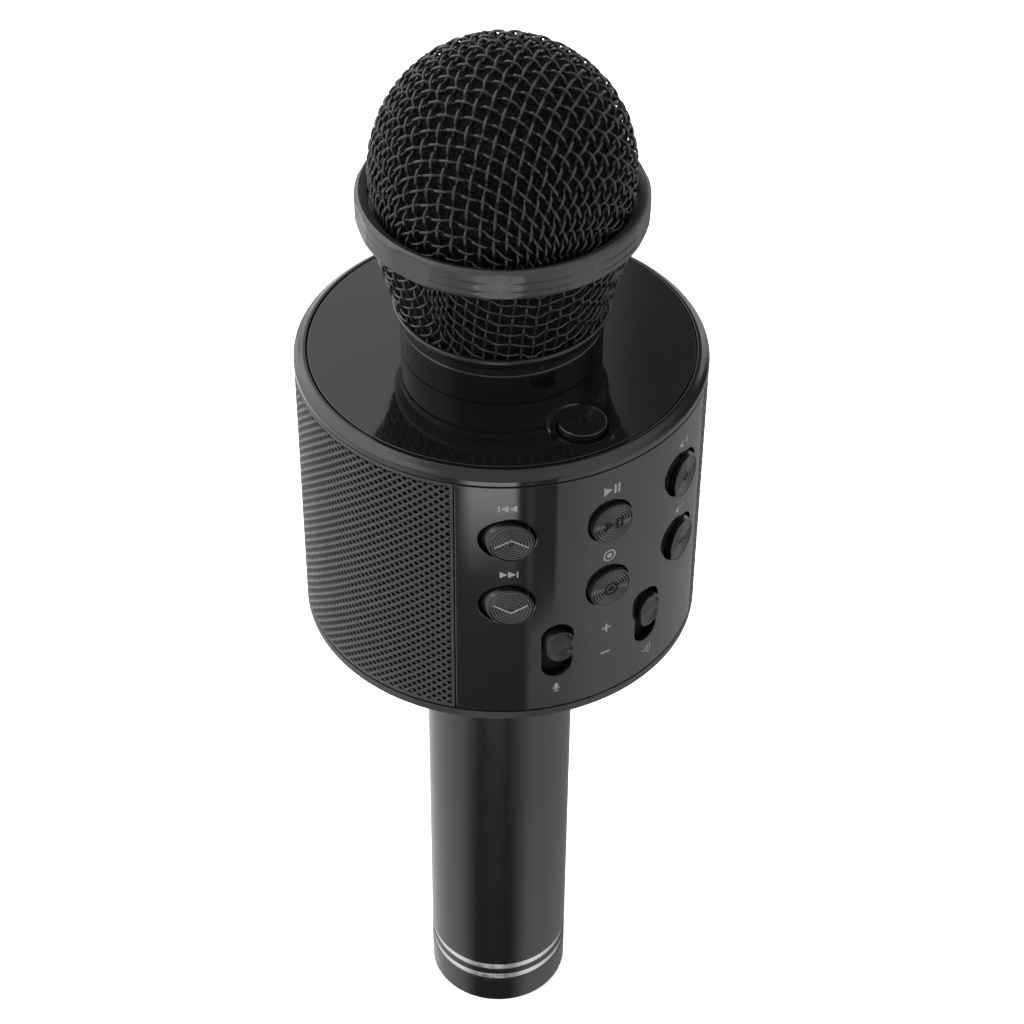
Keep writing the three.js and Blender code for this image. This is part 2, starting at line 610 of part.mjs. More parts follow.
function headParts() {
  const head = new THREE.Group();
  microphone.add(head);
  add('head_collar', turned([
    [THREAD_RADIUS + 0.4, NECK_TOP + GAP], [18.3, NECK_TOP + GAP], [18.6, NECK_TOP + 0.6],
    [19.3, COLLAR_TOP - 0.5], [19.1, COLLAR_TOP], [THREAD_RADIUS + 0.4, COLLAR_TOP],
  ], 36), MATERIALS.satinRing, head);
  add('head_cone_mesh', coneMesh(), MATERIALS.wire, head);
  add('head_ring', headRing(), MATERIALS.satinRing, head);
  add('head_dome_mesh', domeMesh(), MATERIALS.wire, head);
  add('foam_liner', foamLiner(), MATERIALS.foam, head);
}

handleParts();
drumShells();
controls();
electronics();
neckParts();
headParts();

export default microphone;
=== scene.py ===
# Karaoke microphone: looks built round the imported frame. Outlines are written in millimetres in the
# frame's axes and turned into metres by piece(). Azimuth 0 is -Y, and azimuths grow towards +X.
from math import acos, asin, atan2, cos, hypot, pi, radians, sin, tan, tanh

import bpy
import bmesh
import numpy as np
from mathutils import Matrix, Vector
from mathutils.geometry import delaunay_2d_cdt
from mathutils.noise import noise


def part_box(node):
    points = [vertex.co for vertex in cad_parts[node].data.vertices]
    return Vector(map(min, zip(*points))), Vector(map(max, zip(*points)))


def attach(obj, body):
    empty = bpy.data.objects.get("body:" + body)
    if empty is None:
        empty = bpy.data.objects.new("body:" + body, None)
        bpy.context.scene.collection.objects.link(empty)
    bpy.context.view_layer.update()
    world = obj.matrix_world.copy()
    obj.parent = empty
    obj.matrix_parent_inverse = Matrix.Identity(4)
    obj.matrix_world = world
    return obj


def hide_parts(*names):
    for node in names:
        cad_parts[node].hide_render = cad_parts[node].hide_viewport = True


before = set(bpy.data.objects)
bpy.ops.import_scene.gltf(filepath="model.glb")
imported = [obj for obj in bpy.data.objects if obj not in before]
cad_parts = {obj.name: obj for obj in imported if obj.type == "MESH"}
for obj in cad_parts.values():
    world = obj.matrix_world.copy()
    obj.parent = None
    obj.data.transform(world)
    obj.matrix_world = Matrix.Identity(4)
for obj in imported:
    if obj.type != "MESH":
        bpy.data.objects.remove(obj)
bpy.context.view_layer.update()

MM = 0.001
TURN = 2 * pi
rng = np.random.default_rng(7)


def corners(node):
    """Lowest and highest corner of a CAD node, in millimetres."""
    low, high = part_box(node)
    return np.array(low) / MM, np.array(high) / MM


def add_object(name, data):
    obj = bpy.data.objects.new(name, data)
    bpy.context.scene.collection.objects.link(obj)
    return obj


# ---------------------------------------------------------------- camera, floor and light
CAMERA_PLACE = (-185.9, -311.8, 444.0)
CAMERA_HEADING = 31.136  # degrees from +Y towards +X
CAMERA_DROP = 41.079
CAMERA_ROLL = 0.555
LENS = 90.15
SENSOR = 36


def make_camera():
    data = bpy.data.cameras.new("camera")
    data.lens, data.sensor_width = LENS, SENSOR
    data.clip_start, data.clip_end = 0.01, 50
    heading, drop, roll = (radians(a) for a in (CAMERA_HEADING, CAMERA_DROP, CAMERA_ROLL))
    forward = Vector((sin(heading) * cos(drop), cos(heading) * cos(drop), -sin(drop)))
    level = Vector((cos(heading), -sin(heading), 0))
    square = level.cross(forward)
    right = level * cos(roll) + square * sin(roll)
    up = square * cos(roll) - level * sin(roll)
    place = Matrix((right, up, -forward)).transposed().to_4x4()
    place.translation = Vector(CAMERA_PLACE) * MM
    camera = add_object("camera", data)
    camera.matrix_world = place
    bpy.context.scene.camera = camera


class Graph:
    """Short calls for the node trees of the materials and the world."""

    def __init__(self, tree):
        self.nodes, self.links = tree.nodes, tree.links

    def feed(self, socket, value):
        """Links an output to the socket, or sets the socket's own value."""
        if isinstance(value, bpy.types.NodeSocket):
            self.links.new(value, socket)
        else:
            socket.default_value = value

    def add(self, kind, inputs=None, **settings):
        """A new node. inputs gives values or outputs by input name or number."""
        node = self.nodes.new(kind)
        for key, value in settings.items():
            setattr(node, key, value)
        for key, value in (inputs or {}).items():
            self.feed(node.inputs[key], value)
        return node

    def math(self, operation, a, b=0.0):
        return self.add("ShaderNodeMath", {0: a, 1: b}, operation=operation).outputs[0]

    def plus(self, a, b):
        return self.math("ADD", a, b)

    def times(self, *shares):
        made = shares[0]
        for share in shares[1:]:
            made = self.math("MULTIPLY", made, share)
        return made

    def ramp(self, value, low, high, to_low=0.0, to_high=1.0, smooth=True):
        return self.add(
            "ShaderNodeMapRange",
            {"Value": value, "From Min": low, "From Max": high, "To Min": to_low, "To Max": to_high},
            interpolation_type="SMOOTHSTEP" if smooth else "LINEAR",
        ).outputs[0]

    def noise(self, coords, scale, detail=4.0):
        inputs = {"Vector": coords, "Scale": scale, "Detail": detail, "Roughness": 0.55}
        return self.add("ShaderNodeTexNoise", inputs).outputs["Fac"]

    def mix(self, share, a, b):
        made = self.add("ShaderNodeMix", {"Factor": share}, data_type="RGBA")
        for socket, value in zip(made.inputs[6:8], (a, b)):
            self.feed(socket, value if isinstance(value, bpy.types.NodeSocket) else (*value, 1))
        return made.outputs[2]


STUDIO_FRONT = 31.1  # degrees from -Y towards -X, where the camera stands
OPEN_LEVEL = 1.15  # brightness of the white walls
GAP_LEVELS = (0.22, 0.12)  # of the dark gap: as the drum mirrors it, and as the handle does
STRIP_SHARE, OVER_SHARE = 0.25, 0.6  # a faint strip in the gap, and the opening over it
LOW_SHARE = 0.82  # of the whole studio low down
LOW_RIGHT_GAIN, CORNER_GAIN, HIGH_LEFT_GAIN = 0.34, 0.14, 2.3
WINDOW_LEVEL = 3.4


def make_world():
    """A pale studio by direction: white all round, a dark gap towards the camera side, a dim corner
    high behind on the right, a brighter zone high on the left, and one window of light low in front."""
    world = bpy.data.worlds.new("studio")
    bpy.context.scene.world = world
    world.use_nodes = True
    g = Graph(world.node_tree)
    x, y, z = g.add("ShaderNodeSeparateXYZ", {0: g.add("ShaderNodeTexCoord").outputs["Generated"]}).outputs
    front = radians(STUDIO_FRONT)
    # across grows to the right of the picture, and ahead grows away from the camera
    across = g.math("SUBTRACT", g.times(x, cos(front)), g.times(y, sin(front)))
    ahead = g.plus(g.times(x, sin(front)), g.times(y, cos(front)))
    side = g.math("ARCTAN2", across, g.times(ahead, -1.0))  # 0 towards the camera
    bearing = g.math("ARCTAN2", across, ahead)  # 0 away from the camera
    height = g.math("ARCSINE", z)

    def span(angle, start, stop, *to, **kinds):
        """A ramp between two angles in degrees."""
        return g.ramp(angle, radians(start), radians(stop), *to, **kinds)

    def patch(*spans):
        return g.times(*(span(*s) for s in spans))
    low = span(height, -45.4, -46.4)  # what the handle mirrors
    high = g.math("SUBTRACT", 1.0, low)
    left_edge = g.plus(
        g.times(high, span(side, -60, -20, 1.0, 0.0)), g.times(low, span(side, -72, -34, 1.0, 0.0)))
    # the gap's right edge stands further left low down
    shift = span(height, -42.9, -43.9, 0.0, radians(15))
    right_edge = g.plus(
        g.times(high, span(g.plus(side, shift), 30.5, 33.5)), g.times(low, span(side, 18, 50)))
    right_edge = g.times(right_edge, span(side, 30, 64, 0.74, 1.0))
    strip_light = g.times(patch((side, 14, 16), (side, 20, 18)), high, STRIP_SHARE)
    over = span(height, -22, -8, 0.0, OVER_SHARE)
    open_sides = left_edge
    for share in (right_edge, strip_light, over):
        open_sides = g.math("MAXIMUM", open_sides, share)
    gap = g.ramp(low, 0.0, 1.0, *GAP_LEVELS)
    level = g.ramp(open_sides, 0.0, 1.0, gap, OPEN_LEVEL, smooth=False)
    level = g.times(level, span(height, -42.5, -45.5, 1.0, LOW_SHARE))
    zones = (
        (g.times(span(side, 55, 145, smooth=False), span(height, 0, -20)), LOW_RIGHT_GAIN),
        (patch((bearing, 0.4, 4.0), (bearing, 100, 60), (height, 8, 18)), CORNER_GAIN),
        (patch((side, -165, -140), (side, -45, -75), (height, 0, 12), (height, 75, 55)), HIGH_LEFT_GAIN),
    )
    for zone, gain in zones:
        level = g.times(level, g.ramp(zone, 0.0, 1.0, 1.0, gain, smooth=False))
    window = patch((side, -26, -14), (side, 12, 7), (height, -42.6, -40.4), (height, -22, -28))
    level = g.plus(level, g.times(window, WINDOW_LEVEL))
    back = g.nodes["Background"]
    back.inputs["Color"].default_value = (1, 1, 1, 1)
    g.links.new(level, back.inputs["Strength"])


def area_light(name, place, aim, size, power):
    """A round lamp that lights, but isn't mirrored."""
    data = bpy.data.lights.new(name, "AREA")
    data.shape, data.size, data.energy = "DISK", size, power
    lamp = add_object(name, data)
    lamp.location = place
    lamp.rotation_euler = (Vector(aim) - Vector(place)).to_track_quat("-Z", "Y").to_euler()
    lamp.visible_glossy = False


FLOOR_HALF = 4  # metres
FLOOR_GLOW = 0.5


def make_stage():
    view = bpy.context.scene.view_settings
    view.view_transform, view.look = "Standard", "None"
    make_world()
    area_light("top_light", (0.25, 0.35, 1.2), (0, 0, 0.1), 0.9, 14)
    area_light("left_light", (-0.9, 0.1, 0.7), (0, 0, 0.15), 0.5, 5)
    mesh = bpy.data.meshes.new("floor")
    ways = ((-1, -1), (1, -1), (1, 1), (-1, 1))
    mesh.from_pydata([(FLOOR_HALF * a, FLOOR_HALF * b, 0) for a, b in ways], [], [(0, 1, 2, 3)])
    floor = add_object("floor", mesh)
    material = bpy.data.materials.new("floor")
    material.use_nodes = True
    shader = material.node_tree.nodes["Principled BSDF"]
    shader.inputs["Base Color"].default_value = (0.9, 0.9, 0.9, 1)
    shader.inputs["Roughness"].default_value = 0.9
    shader.inputs["Emission Color"].default_value = (1, 1, 1, 1)
    shader.inputs["Emission Strength"].default_value = FLOOR_GLOW
    mesh.materials.append(material)
    floor.visible_glossy = False


# ---------------------------------------------------------------- materials
def paint(name, color, roughness, metallic=0.0, grain=(2600, 0.25, 12e-6), blotch=(70, 0.15),
          rough_span=0.06, extra=None, **sockets):
    """A procedural finish. grain is the scale, strength and depth in metres of the fine bump, blotch the
    scale and amount of the slow colour change, and extra adds to the colour, roughness and height."""
    material = bpy.data.materials.new(name)
    material.use_nodes = True
    g = Graph(material.node_tree)
    shader = g.nodes["Principled BSDF"]
    coords = g.add("ShaderNodeTexCoord").outputs["Object"]
    dark, light = ([c * (1 + k * blotch[1]) for c in color] for k in (-1, 1))
    tint = g.mix(g.noise(coords, blotch[0]), dark, light)
    rough = g.ramp(
        g.noise(coords, blotch[0] * 5), 0.3, 0.7, roughness - rough_span, roughness + rough_span)
    height = g.noise(coords, grain[0], 2.0)
    if extra:
        tint, rough, height = extra(g, coords, tint, rough, height)
    bump = g.add("ShaderNodeBump", {"Strength": grain[1], "Distance": grain[2], "Height": height})
    g.links.new(tint, shader.inputs["Base Color"])
    g.links.new(rough, shader.inputs["Roughness"])
    g.links.new(bump.outputs[0], shader.inputs["Normal"])
    shader.inputs["Metallic"].default_value = metallic
    for socket, value in sockets.items():
        shader.inputs[socket.replace("_", " ")].default_value = value
    return material


def specks(threshold, scale, gain):
    """A few pale dust specks and short scuffs that roughen a gloss surface."""
    def extra(g, coords, tint, rough, height):
        dust = g.ramp(g.noise(coords, scale, 1.0), threshold, threshold + 0.03)
        return g.mix(dust, tint, (gain, gain, gain)), g.plus(rough, g.times(dust, 0.3)), height
    return extra


def lathe_lines(g, coords, tint, rough, height):
    """Fine lines round the axis."""
    wave = g.add("ShaderNodeTexWave", {
        "Vector": coords, "Scale": 5200, "Distortion": 0.6, "Detail": 2.0,
    }, bands_direction="Z").outputs["Fac"]
    return tint, g.plus(rough, g.times(wave, 0.08)), g.plus(g.times(wave, 0.7), g.times(height, 0.3))


def pores(g, coords, tint, rough, height):
    """Open foam cells."""
    cell = g.add("ShaderNodeTexVoronoi", {"Vector": coords, "Scale": 1500}).outputs["Distance"]
    tint = g.mix(g.ramp(cell, 0.1, 0.6), tint, (0.0015, 0.0015, 0.0015))
    return tint, rough, g.plus(height, g.times(cell, 2.0))


def cross_threads(g, coords, tint, rough, height):
    """Two sets of threads of a plain weave, by wave bands along the three axes."""
    a, b, c = (
        g.add("ShaderNodeTexWave", {"Vector": coords, "Scale": 1100}, bands_direction=axis).outputs["Fac"]
        for axis in "XYZ"
    )
    weave = g.math("MAXIMUM", g.times(a, b), c)
    return g.mix(weave, tint, (0.03, 0.03, 0.032)), rough, g.plus(weave, g.times(height, 0.3))


def make_materials():
    return {
        "handle": paint("anodised_black", (0.0036, 0.0036, 0.004), 0.165, grain=(5200, 0.2, 6e-6),
                        blotch=(45, 0.15), rough_span=0.012),
        "bright": paint("bright_cut_aluminium", (0.7, 0.7, 0.72), 0.22, 1.0, grain=(3000, 0.3, 6e-6),
                        blotch=(90, 0.06), extra=lathe_lines),
        "gloss": paint("gloss_black", (0.0042, 0.0042, 0.0046), 0.06, grain=(160, 0.12, 7e-6),
                       blotch=(40, 0.2), rough_span=0.012, extra=specks(0.85, 700, 0.06)),
        "satin": paint("satin_black_moulding", (0.009, 0.009, 0.0098), 0.4, grain=(4200, 0.35, 10e-6)),
        "key": paint("button_plastic", (0.006, 0.006, 0.0066), 0.24, grain=(3800, 0.15, 6e-6),
                     blotch=(240, 0.2), rough_span=0.03),
        "grille": paint("painted_grille_steel", (0.016, 0.016, 0.0175), 0.34, grain=(5200, 0.35, 10e-6),
                        blotch=(120, 0.25), extra=specks(0.76, 700, 0.06)),
        "wire": paint("painted_mesh_wire", (0.0095, 0.0095, 0.0102), 0.27, grain=(6000, 0.35, 12e-6),
                      blotch=(160, 0.3), extra=specks(0.8, 1300, 0.09)),
        "ring": paint("painted_head_metal", (0.019, 0.019, 0.0204), 0.33, grain=(3600, 0.8, 26e-6),
                      blotch=(130, 0.3), extra=specks(0.77, 1100, 0.1)),
        "foam": paint("black_foam", (0.0075, 0.0075, 0.0075), 0.95, grain=(1500, 0.9, 160e-6),
                      blotch=(300, 0.5), rough_span=0.03, extra=pores, Specular_IOR_Level=0.15),
        "cloth": paint("speaker_cloth", (0.006, 0.006, 0.0065), 0.92, grain=(4000, 0.8, 60e-6),
                       blotch=(200, 0.3), rough_span=0.03, extra=cross_threads, Sheen_Weight=0.15,
                       Specular_IOR_Level=0.2),
        # a paler grey that paints the highlights along the caps' groove crests
        "crest_highlight": paint("crest_highlight_paint", (0.055, 0.055, 0.057), 0.3, grain=(3800, 0.2, 6e-6), blotch=(400, 0.35)),
        "print": paint("pale_print", (0.17, 0.17, 0.175), 0.5, grain=(5000, 0.3, 5e-6), blotch=(900, 0.18)),
        "mark": paint("key_mark", (0.16, 0.16, 0.165), 0.35, grain=(5000, 0.3, 5e-6), blotch=(900, 0.2)),
        "ink": paint("dark_ink", (0.002, 0.002, 0.002), 0.5, grain=(5000, 0.3, 5e-6), blotch=(900, 0.2),
                     Specular_IOR_Level=0.15),
        "steel": paint("zinc_steel", (0.5, 0.5, 0.51), 0.3, 1.0, grain=(3000, 0.3, 10e-6), blotch=(150, 0.15)),
        "brass": paint("plated_brass", (0.72, 0.53, 0.26), 0.25, 1.0, grain=(3000, 0.3, 8e-6),
                       blotch=(150, 0.1)),
        "inner": paint("housing_plastic", (0.02, 0.02, 0.022), 0.5, grain=(2400, 0.5, 20e-6)),
        "board": paint("circuit_board", (0.012, 0.07, 0.028), 0.35, grain=(900, 0.5, 20e-6),
                       blotch=(420, 0.45)),
        "cell": paint("cell_wrap", (0.05, 0.17, 0.36), 0.3, grain=(500, 0.3, 30e-6), blotch=(60, 0.15)),
        "magnet": paint("ferrite", (0.03, 0.03, 0.032), 0.6, grain=(1800, 0.7, 40e-6), blotch=(200, 0.3)),
        "paper": paint("paper_cone", (0.022, 0.021, 0.02), 0.9, grain=(1400, 0.8, 50e-6), blotch=(240, 0.3)),
        "matte": paint("matte_strip", (0.003, 0.003, 0.003), 0.85, grain=(2600, 0.4, 20e-6),
                       Specular_IOR_Level=0.2),
        "rubber": paint("soft_rubber", (0.01, 0.01, 0.01), 0.7, grain=(2600, 0.4, 20e-6)),
        "light": paint("red_indicator", (0.5, 0.03, 0.02), 0.15, grain=(900, 0.2, 10e-6),
                       Transmission_Weight=0.3),
        "lead": paint("lead_cover", (0.2, 0.015, 0.015), 0.45, grain=(1800, 0.3, 20e-6)),
    }


# ---------------------------------------------------------------- mesh building
def merged(points, tolerance):
    """The points without those that lie on each other, and each old point's new number."""
    points = np.asarray(points, float)
    keys = np.round(points / tolerance).astype(np.int64)
    _, first, back = np.unique(keys, axis=0, return_index=True, return_inverse=True)
    return points[first], back.ravel()


def weld(points, faces):
    """Merges points that lie on each other and drops the faces that fold up."""
    points, back = merged(points, 1e-4)
    kept = []
    for face in faces:
        loop = []
        for index in back[list(face)].tolist():
            if not loop or (index != loop[-1] and index != loop[0]):
                loop.append(index)
        if len(loop) > 2:
            kept.append(loop)
    return points, kept


def piece(name, shape, body, material, replaces=(), slot=None, sharp=38, weigh=True, merge=True, skin=None):
    """A mesh object on a body. skin(points) gives exact normals where it knows them, and zeros elsewhere."""
    points, faces = weld(*shape) if merge else shape
    mesh = bpy.data.meshes.new(name)
    mesh.from_pydata((points * MM).tolist(), [], faces)
    work = bmesh.new()
    work.from_mesh(mesh)
    bmesh.ops.recalc_face_normals(work, faces=work.faces)
    work.to_mesh(mesh)
    work.free()
    mesh.shade_smooth()
    if sharp:
        mesh.set_sharp_from_angle(angle=radians(sharp))
    obj = add_object(name, mesh)
    mesh.materials.append(MATERIALS[material])
    if skin:
        mesh.normals_split_custom_set_from_vertices(skin(points).tolist())
    elif weigh:
        obj.modifiers.new("even_shading", "WEIGHTED_NORMAL").keep_sharp = True
    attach(obj, body)
    if replaces:
        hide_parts(*replaces)
    return obj


def together(*shapes):
    """Several shapes as one."""
    points, faces, start = [], [], 0
    for more_points, more_faces in shapes:
        points.append(np.asarray(more_points, float))
        faces.extend([[i + start for i in face] for face in more_faces])
        start += len(more_points)
    return np.concatenate(points), faces


def strip(first, second):
    """Faces between two closed rows of point numbers, or between two stacks of rows."""
    quads = np.stack([first, np.roll(first, -1, -1), np.roll(second, -1, -1), second], -1)
    return quads.reshape(-1, 4).tolist()


def skinned(points, sides):
    """Closed rows of points, joined one to the next, with the two end rows capped."""
    numbers = np.arange(len(points)).reshape(-1, sides)
    return points, strip(numbers[:-1], numbers[1:]) + [numbers[0].tolist(), numbers[-1].tolist()]


def rounded(outline, steps=5):
    """A closed outline of (a, b) or (a, b, radius), with the corners that give a radius rounded."""
    made = []
    for i, corner in enumerate(outline):
        p = np.array(corner[:2], float)
        if len(corner) < 3:
            made.append(p)
            continue
        before = np.array(outline[i - 1][:2], float) - p
        after = np.array(outline[(i + 1) % len(outline)][:2], float) - p
        reach = np.linalg.norm(before), np.linalg.norm(after)
        ub, ua = before / reach[0], after / reach[1]
        half = 0.5 * acos(max(-1, min(1, float(ub @ ua))))
        back = min(corner[2] / tan(half), 0.49 * min(reach))
        centre = p + (ub + ua) / np.linalg.norm(ub + ua) * back / cos(half)
        v0, v1 = p + ub * back - centre, p + ua * back - centre
        sweep = pi - 2 * half
        for t in np.arange(steps + 1) / steps:
            made.append(centre + (sin((1 - t) * sweep) * v0 + sin(t * sweep) * v1) / sin(sweep))
    return np.array(made)


def polar(radius, azimuth):
    return radius * np.sin(azimuth), -radius * np.cos(azimuth)


def turned(outline, sides=160, reshape=None, start=0.0, end=TURN):
    """A closed outline of (r, z) turned round +Z, or swept from start to end and capped. reshape takes
    and returns radius, azimuth and z."""
    outline = np.asarray(outline, float)
    whole = abs(end - start - TURN) < 1e-9
    rows = sides if whole else sides + 1
    r, a = np.meshgrid(outline[:, 0], start + (end - start) * np.arange(rows) / sides)
    z = np.broadcast_to(outline[:, 1], r.shape)
    if reshape:
        r, a, z = reshape(r, a, z)
    points = np.stack([*polar(r, a), z], -1).reshape(-1, 3)
    if not whole:
        return skinned(points, len(outline))
    numbers = np.arange(len(points)).reshape(rows, -1)
    return points, strip(numbers, np.roll(numbers, -1, 0))


def circle(radius, count=64, x=0.0, y=0.0):
    a = TURN * np.arange(count) / count
    return np.stack([x + radius * np.cos(a), y + radius * np.sin(a)], 1)


def stadium(width, height, count=14, x=0.0, y=0.0):
    reach = (height - width) / 2
    a = np.linspace(0, pi, count)
    top = np.stack([width / 2 * np.cos(a), reach + width / 2 * np.sin(a)], 1)
    side = np.stack([np.full(5, -width / 2), np.linspace(reach, -reach, 7)[1:-1]], 1)
    return np.concatenate([top, side, -top, -side]) + np.array([x, y])


def box_loop(width, height, radius, x=0.0, y=0.0):
    w, h = width / 2, height / 2
    return rounded([(x + a * w, y + b * h, radius) for a, b in ((-1, -1), (1, -1), (1, 1), (-1, 1))], 4)


def outward(loop):
    """Unit normals of a closed loop, pointing away from its inside."""
    step = np.roll(loop, -1, 0) - np.roll(loop, 1, 0)
    normal = np.stack([step[:, 1], -step[:, 0]], 1)
    normal /= np.linalg.norm(normal, axis=1)[:, None] + 1e-12
    x, y = loop[:, 0], loop[:, 1]
    area = np.sum(x * np.roll(y, -1) - y * np.roll(x, -1))
    return normal if area > 0 else -normal


def inside(points, loop):
    x, y = points[:, 0][:, None], points[:, 1][:, None]
    x0, y0 = loop[:, 0][None], loop[:, 1][None]
    x1, y1 = np.roll(loop[:, 0], -1)[None], np.roll(loop[:, 1], -1)[None]
    crosses = (y0 > y) != (y1 > y)
    at = (x1 - x0) * (y - y0) / np.where(y1 == y0, 1e-12, y1 - y0) + x0
    return (np.sum(crosses & (x < at), axis=1) % 2) == 1


def between(points, outer, *holes):
    """Which points lie inside the outer loop and outside the holes."""
    keep = inside(points, outer)
    for hole in holes:
        keep &= ~inside(points, hole)
    return keep


def clear_of(points, others, gap):
    """Which points stand further than gap from all the others."""
    parts = np.array_split(points, len(points) // 4000 + 1)
    return np.concatenate([np.linalg.norm(p[:, None] - others[None], axis=2).min(1) > gap for p in parts])


RIM_STEPS = 4


def pierced(outer, holes, thickness, place, spacing, outer_rim=0.3, hole_rim=0.2, rings=()):
    """A plate with holes, made in a flat (u, v) plane and laid in space by place(uv, depth). Its front
    edges are rounded: the rims are their radii. rings are extra loops of points kept in its face."""
    walls = [np.asarray(loop, float) for loop in (outer, *holes)]
    normals = [-outward(walls[0])] + [outward(w) for w in walls[1:]]
    rims = [outer_rim] + [hole_rim] * len(holes)
    edges = [w + n * r for w, n, r in zip(walls, normals, rims)]  # where the flat face ends
    low, high = edges[0].min(0), edges[0].max(0)
    axes = (np.arange(low[k] + spacing[k] / 2, high[k], spacing[k]) for k in (0, 1))
    grid = np.stack(np.meshgrid(*axes), -1).reshape(-1, 2)
    near = min(spacing) * 0.45
    if rings:
        on_rings = np.concatenate(rings)
        grid = np.concatenate([grid[clear_of(grid, on_rings, near)], on_rings])
    grid = grid[between(grid, *edges)]
    for loop in edges:
        grid = grid[clear_of(grid, loop, near)]
    flat = np.concatenate([*edges, grid])
    starts = np.cumsum([0] + [len(loop) for loop in edges])
    numbers = [np.arange(a, b) for a, b in zip(starts, starts[1:])]
    borders = [tuple(pair) for row in numbers for pair in np.stack([row, np.roll(row, -1)], 1).tolist()]
    _, _, triangles, origin, _, _ = delaunay_2d_cdt([Vector(p) for p in flat], borders, [], 0, 1e-6)
    triangles = np.array([[origin[i][0] for i in t] for t in triangles])
    triangles = triangles[between(flat[triangles].mean(1), *edges)]
    n = len(flat)
    points = [place(flat, np.zeros(n)), place(np.concatenate([*walls, grid]), np.full(n, float(thickness)))]
    faces = triangles.tolist() + (triangles[:, ::-1] + n).tolist()
    total = 2 * n
    for wall, normal, rim, row in zip(walls, normals, rims, numbers):
        m = len(row)
        previous = row
        for angle in np.arange(1, RIM_STEPS + 1) / RIM_STEPS * pi / 2:
            points.append(place(wall + normal * rim * (1 - sin(angle)), np.full(m, rim * (1 - cos(angle)))))
            faces += strip(previous, np.arange(total, total + m))
            previous = np.arange(total, total + m)
            total += m
        faces += strip(previous, row + n)
    return np.concatenate(points), faces


def prism(loop, low, high, place):
    """A closed outline pushed from height low to high, laid in space by place(uv, height)."""
    loop = np.asarray(loop, float)
    m = len(loop)
    return skinned(np.concatenate([place(loop, np.full(m, h)) for h in (low, high)]), m)


def tube_along(centres, normals, radius, sides=8):
    """A round wire with closed ends through centres, kept from twisting by the normals."""
    tangent = np.gradient(centres, axis=0)
    tangent /= np.linalg.norm(tangent, axis=1)[:, None]
    side = np.cross(tangent, normals)
    side /= np.linalg.norm(side, axis=1)[:, None]
    up = np.cross(side, tangent)
    a = (TURN * np.arange(sides) / sides)[None, :, None]
    ring = np.cos(a) * side[:, None] + np.sin(a) * up[:, None]
    return skinned((centres[:, None] + radius * ring).reshape(-1, 3), sides)


def level(z, way=1, x=0.0, y=0.0):
    """place(uv, w) for a level plate: w is measured up from z, or down where way is -1."""
    def place(uv, w):
        return np.stack([x + uv[:, 0], y + uv[:, 1], z + way * np.asarray(w)], 1)
    return place


# ---------------------------------------------------------------- handle
HANDLE_RADIUS = corners("handle_tube")[1][0]
HANDLE_BORE = 12.8
HANDLE_TOP = corners("handle_tube")[1][2]
BAND_ZS = (7.95, 11.05)
BAND_HALF = 0.85
BAND_DEPTH = 0.2
PAD_RADIUS = 12.4
NOTCH_HALF, NOTCH_FLOOR = 1.5, 8.6  # where the leads pass the cell's pads


def make_handle():
    outline = [(HANDLE_BORE, 0, 0.15), (HANDLE_RADIUS, 0, 0.35)]
    floor = HANDLE_RADIUS - BAND_DEPTH
    for z in BAND_ZS:
        low, high = z - BAND_HALF, z + BAND_HALF
        outline += [(HANDLE_RADIUS, low, 0.06), (floor, low + 0.1, 0.05),
                    (floor, high - 0.1, 0.05), (HANDLE_RADIUS, high, 0.06)]
    outline += [(HANDLE_RADIUS, HANDLE_TOP), (HANDLE_BORE, HANDLE_TOP)]
    piece("handle_tube_smooth", turned(rounded(outline), 220), "base", "handle", ["handle_tube"],
          "anodised_tube")
    for z, name in zip(BAND_ZS, ("lower", "upper")):
        low, high = z - BAND_HALF + 0.12, z + BAND_HALF - 0.12
        band = rounded([(floor - 0.3, low), (floor + 0.07, low, 0.06), (floor + 0.02, z),
                        (floor + 0.07, high, 0.06), (floor - 0.3, high)])
        piece(f"bright_band_{name}", turned(band, 220), "base", "bright", slot="anodised_tube")

    radius = corners("end_cap")[1][0]
    openings = [
        box_loop(8.2, 3.2, 1.2, 0, -6.2), box_loop(12.6, 1.9, 0.3, 0, 6.4),
        circle(1.8, 32, -7.3, 0), circle(1.15, 24, 7, 0),
    ]
    plate = pierced(circle(radius, 140), openings, 2, level(0), (1.1, 1.1), 0.3, 0.2)
    wall = turned([(radius, 2.0), (radius, 10), (radius - 1.3, 10), (radius - 1.3, 2.0)], 140)
    piece("end_cap_smooth", together(plate, wall), "base", "satin", ["end_cap"], "satin_plastic")

    for name in ("lower", "upper"):
        low, high = corners(f"battery_pad_{name}")
        edge = pi / 2 - asin(NOTCH_HALF / PAD_RADIUS)
        a = np.linspace(-pi - edge, edge, 80)
        notch = [(NOTCH_HALF, NOTCH_FLOOR), (-NOTCH_HALF, NOTCH_FLOOR)]
        loop = np.concatenate([PAD_RADIUS * np.stack([np.cos(a), np.sin(a)], 1), notch])
        pad = pierced(loop, [], high[2] - low[2], level(high[2], -1), (1.5, 1.5), 0.5, 0.2)
        pad_piece = piece(f"cell_pad_{name}", pad, "base", "foam", [f"battery_pad_{name}"], "foam")


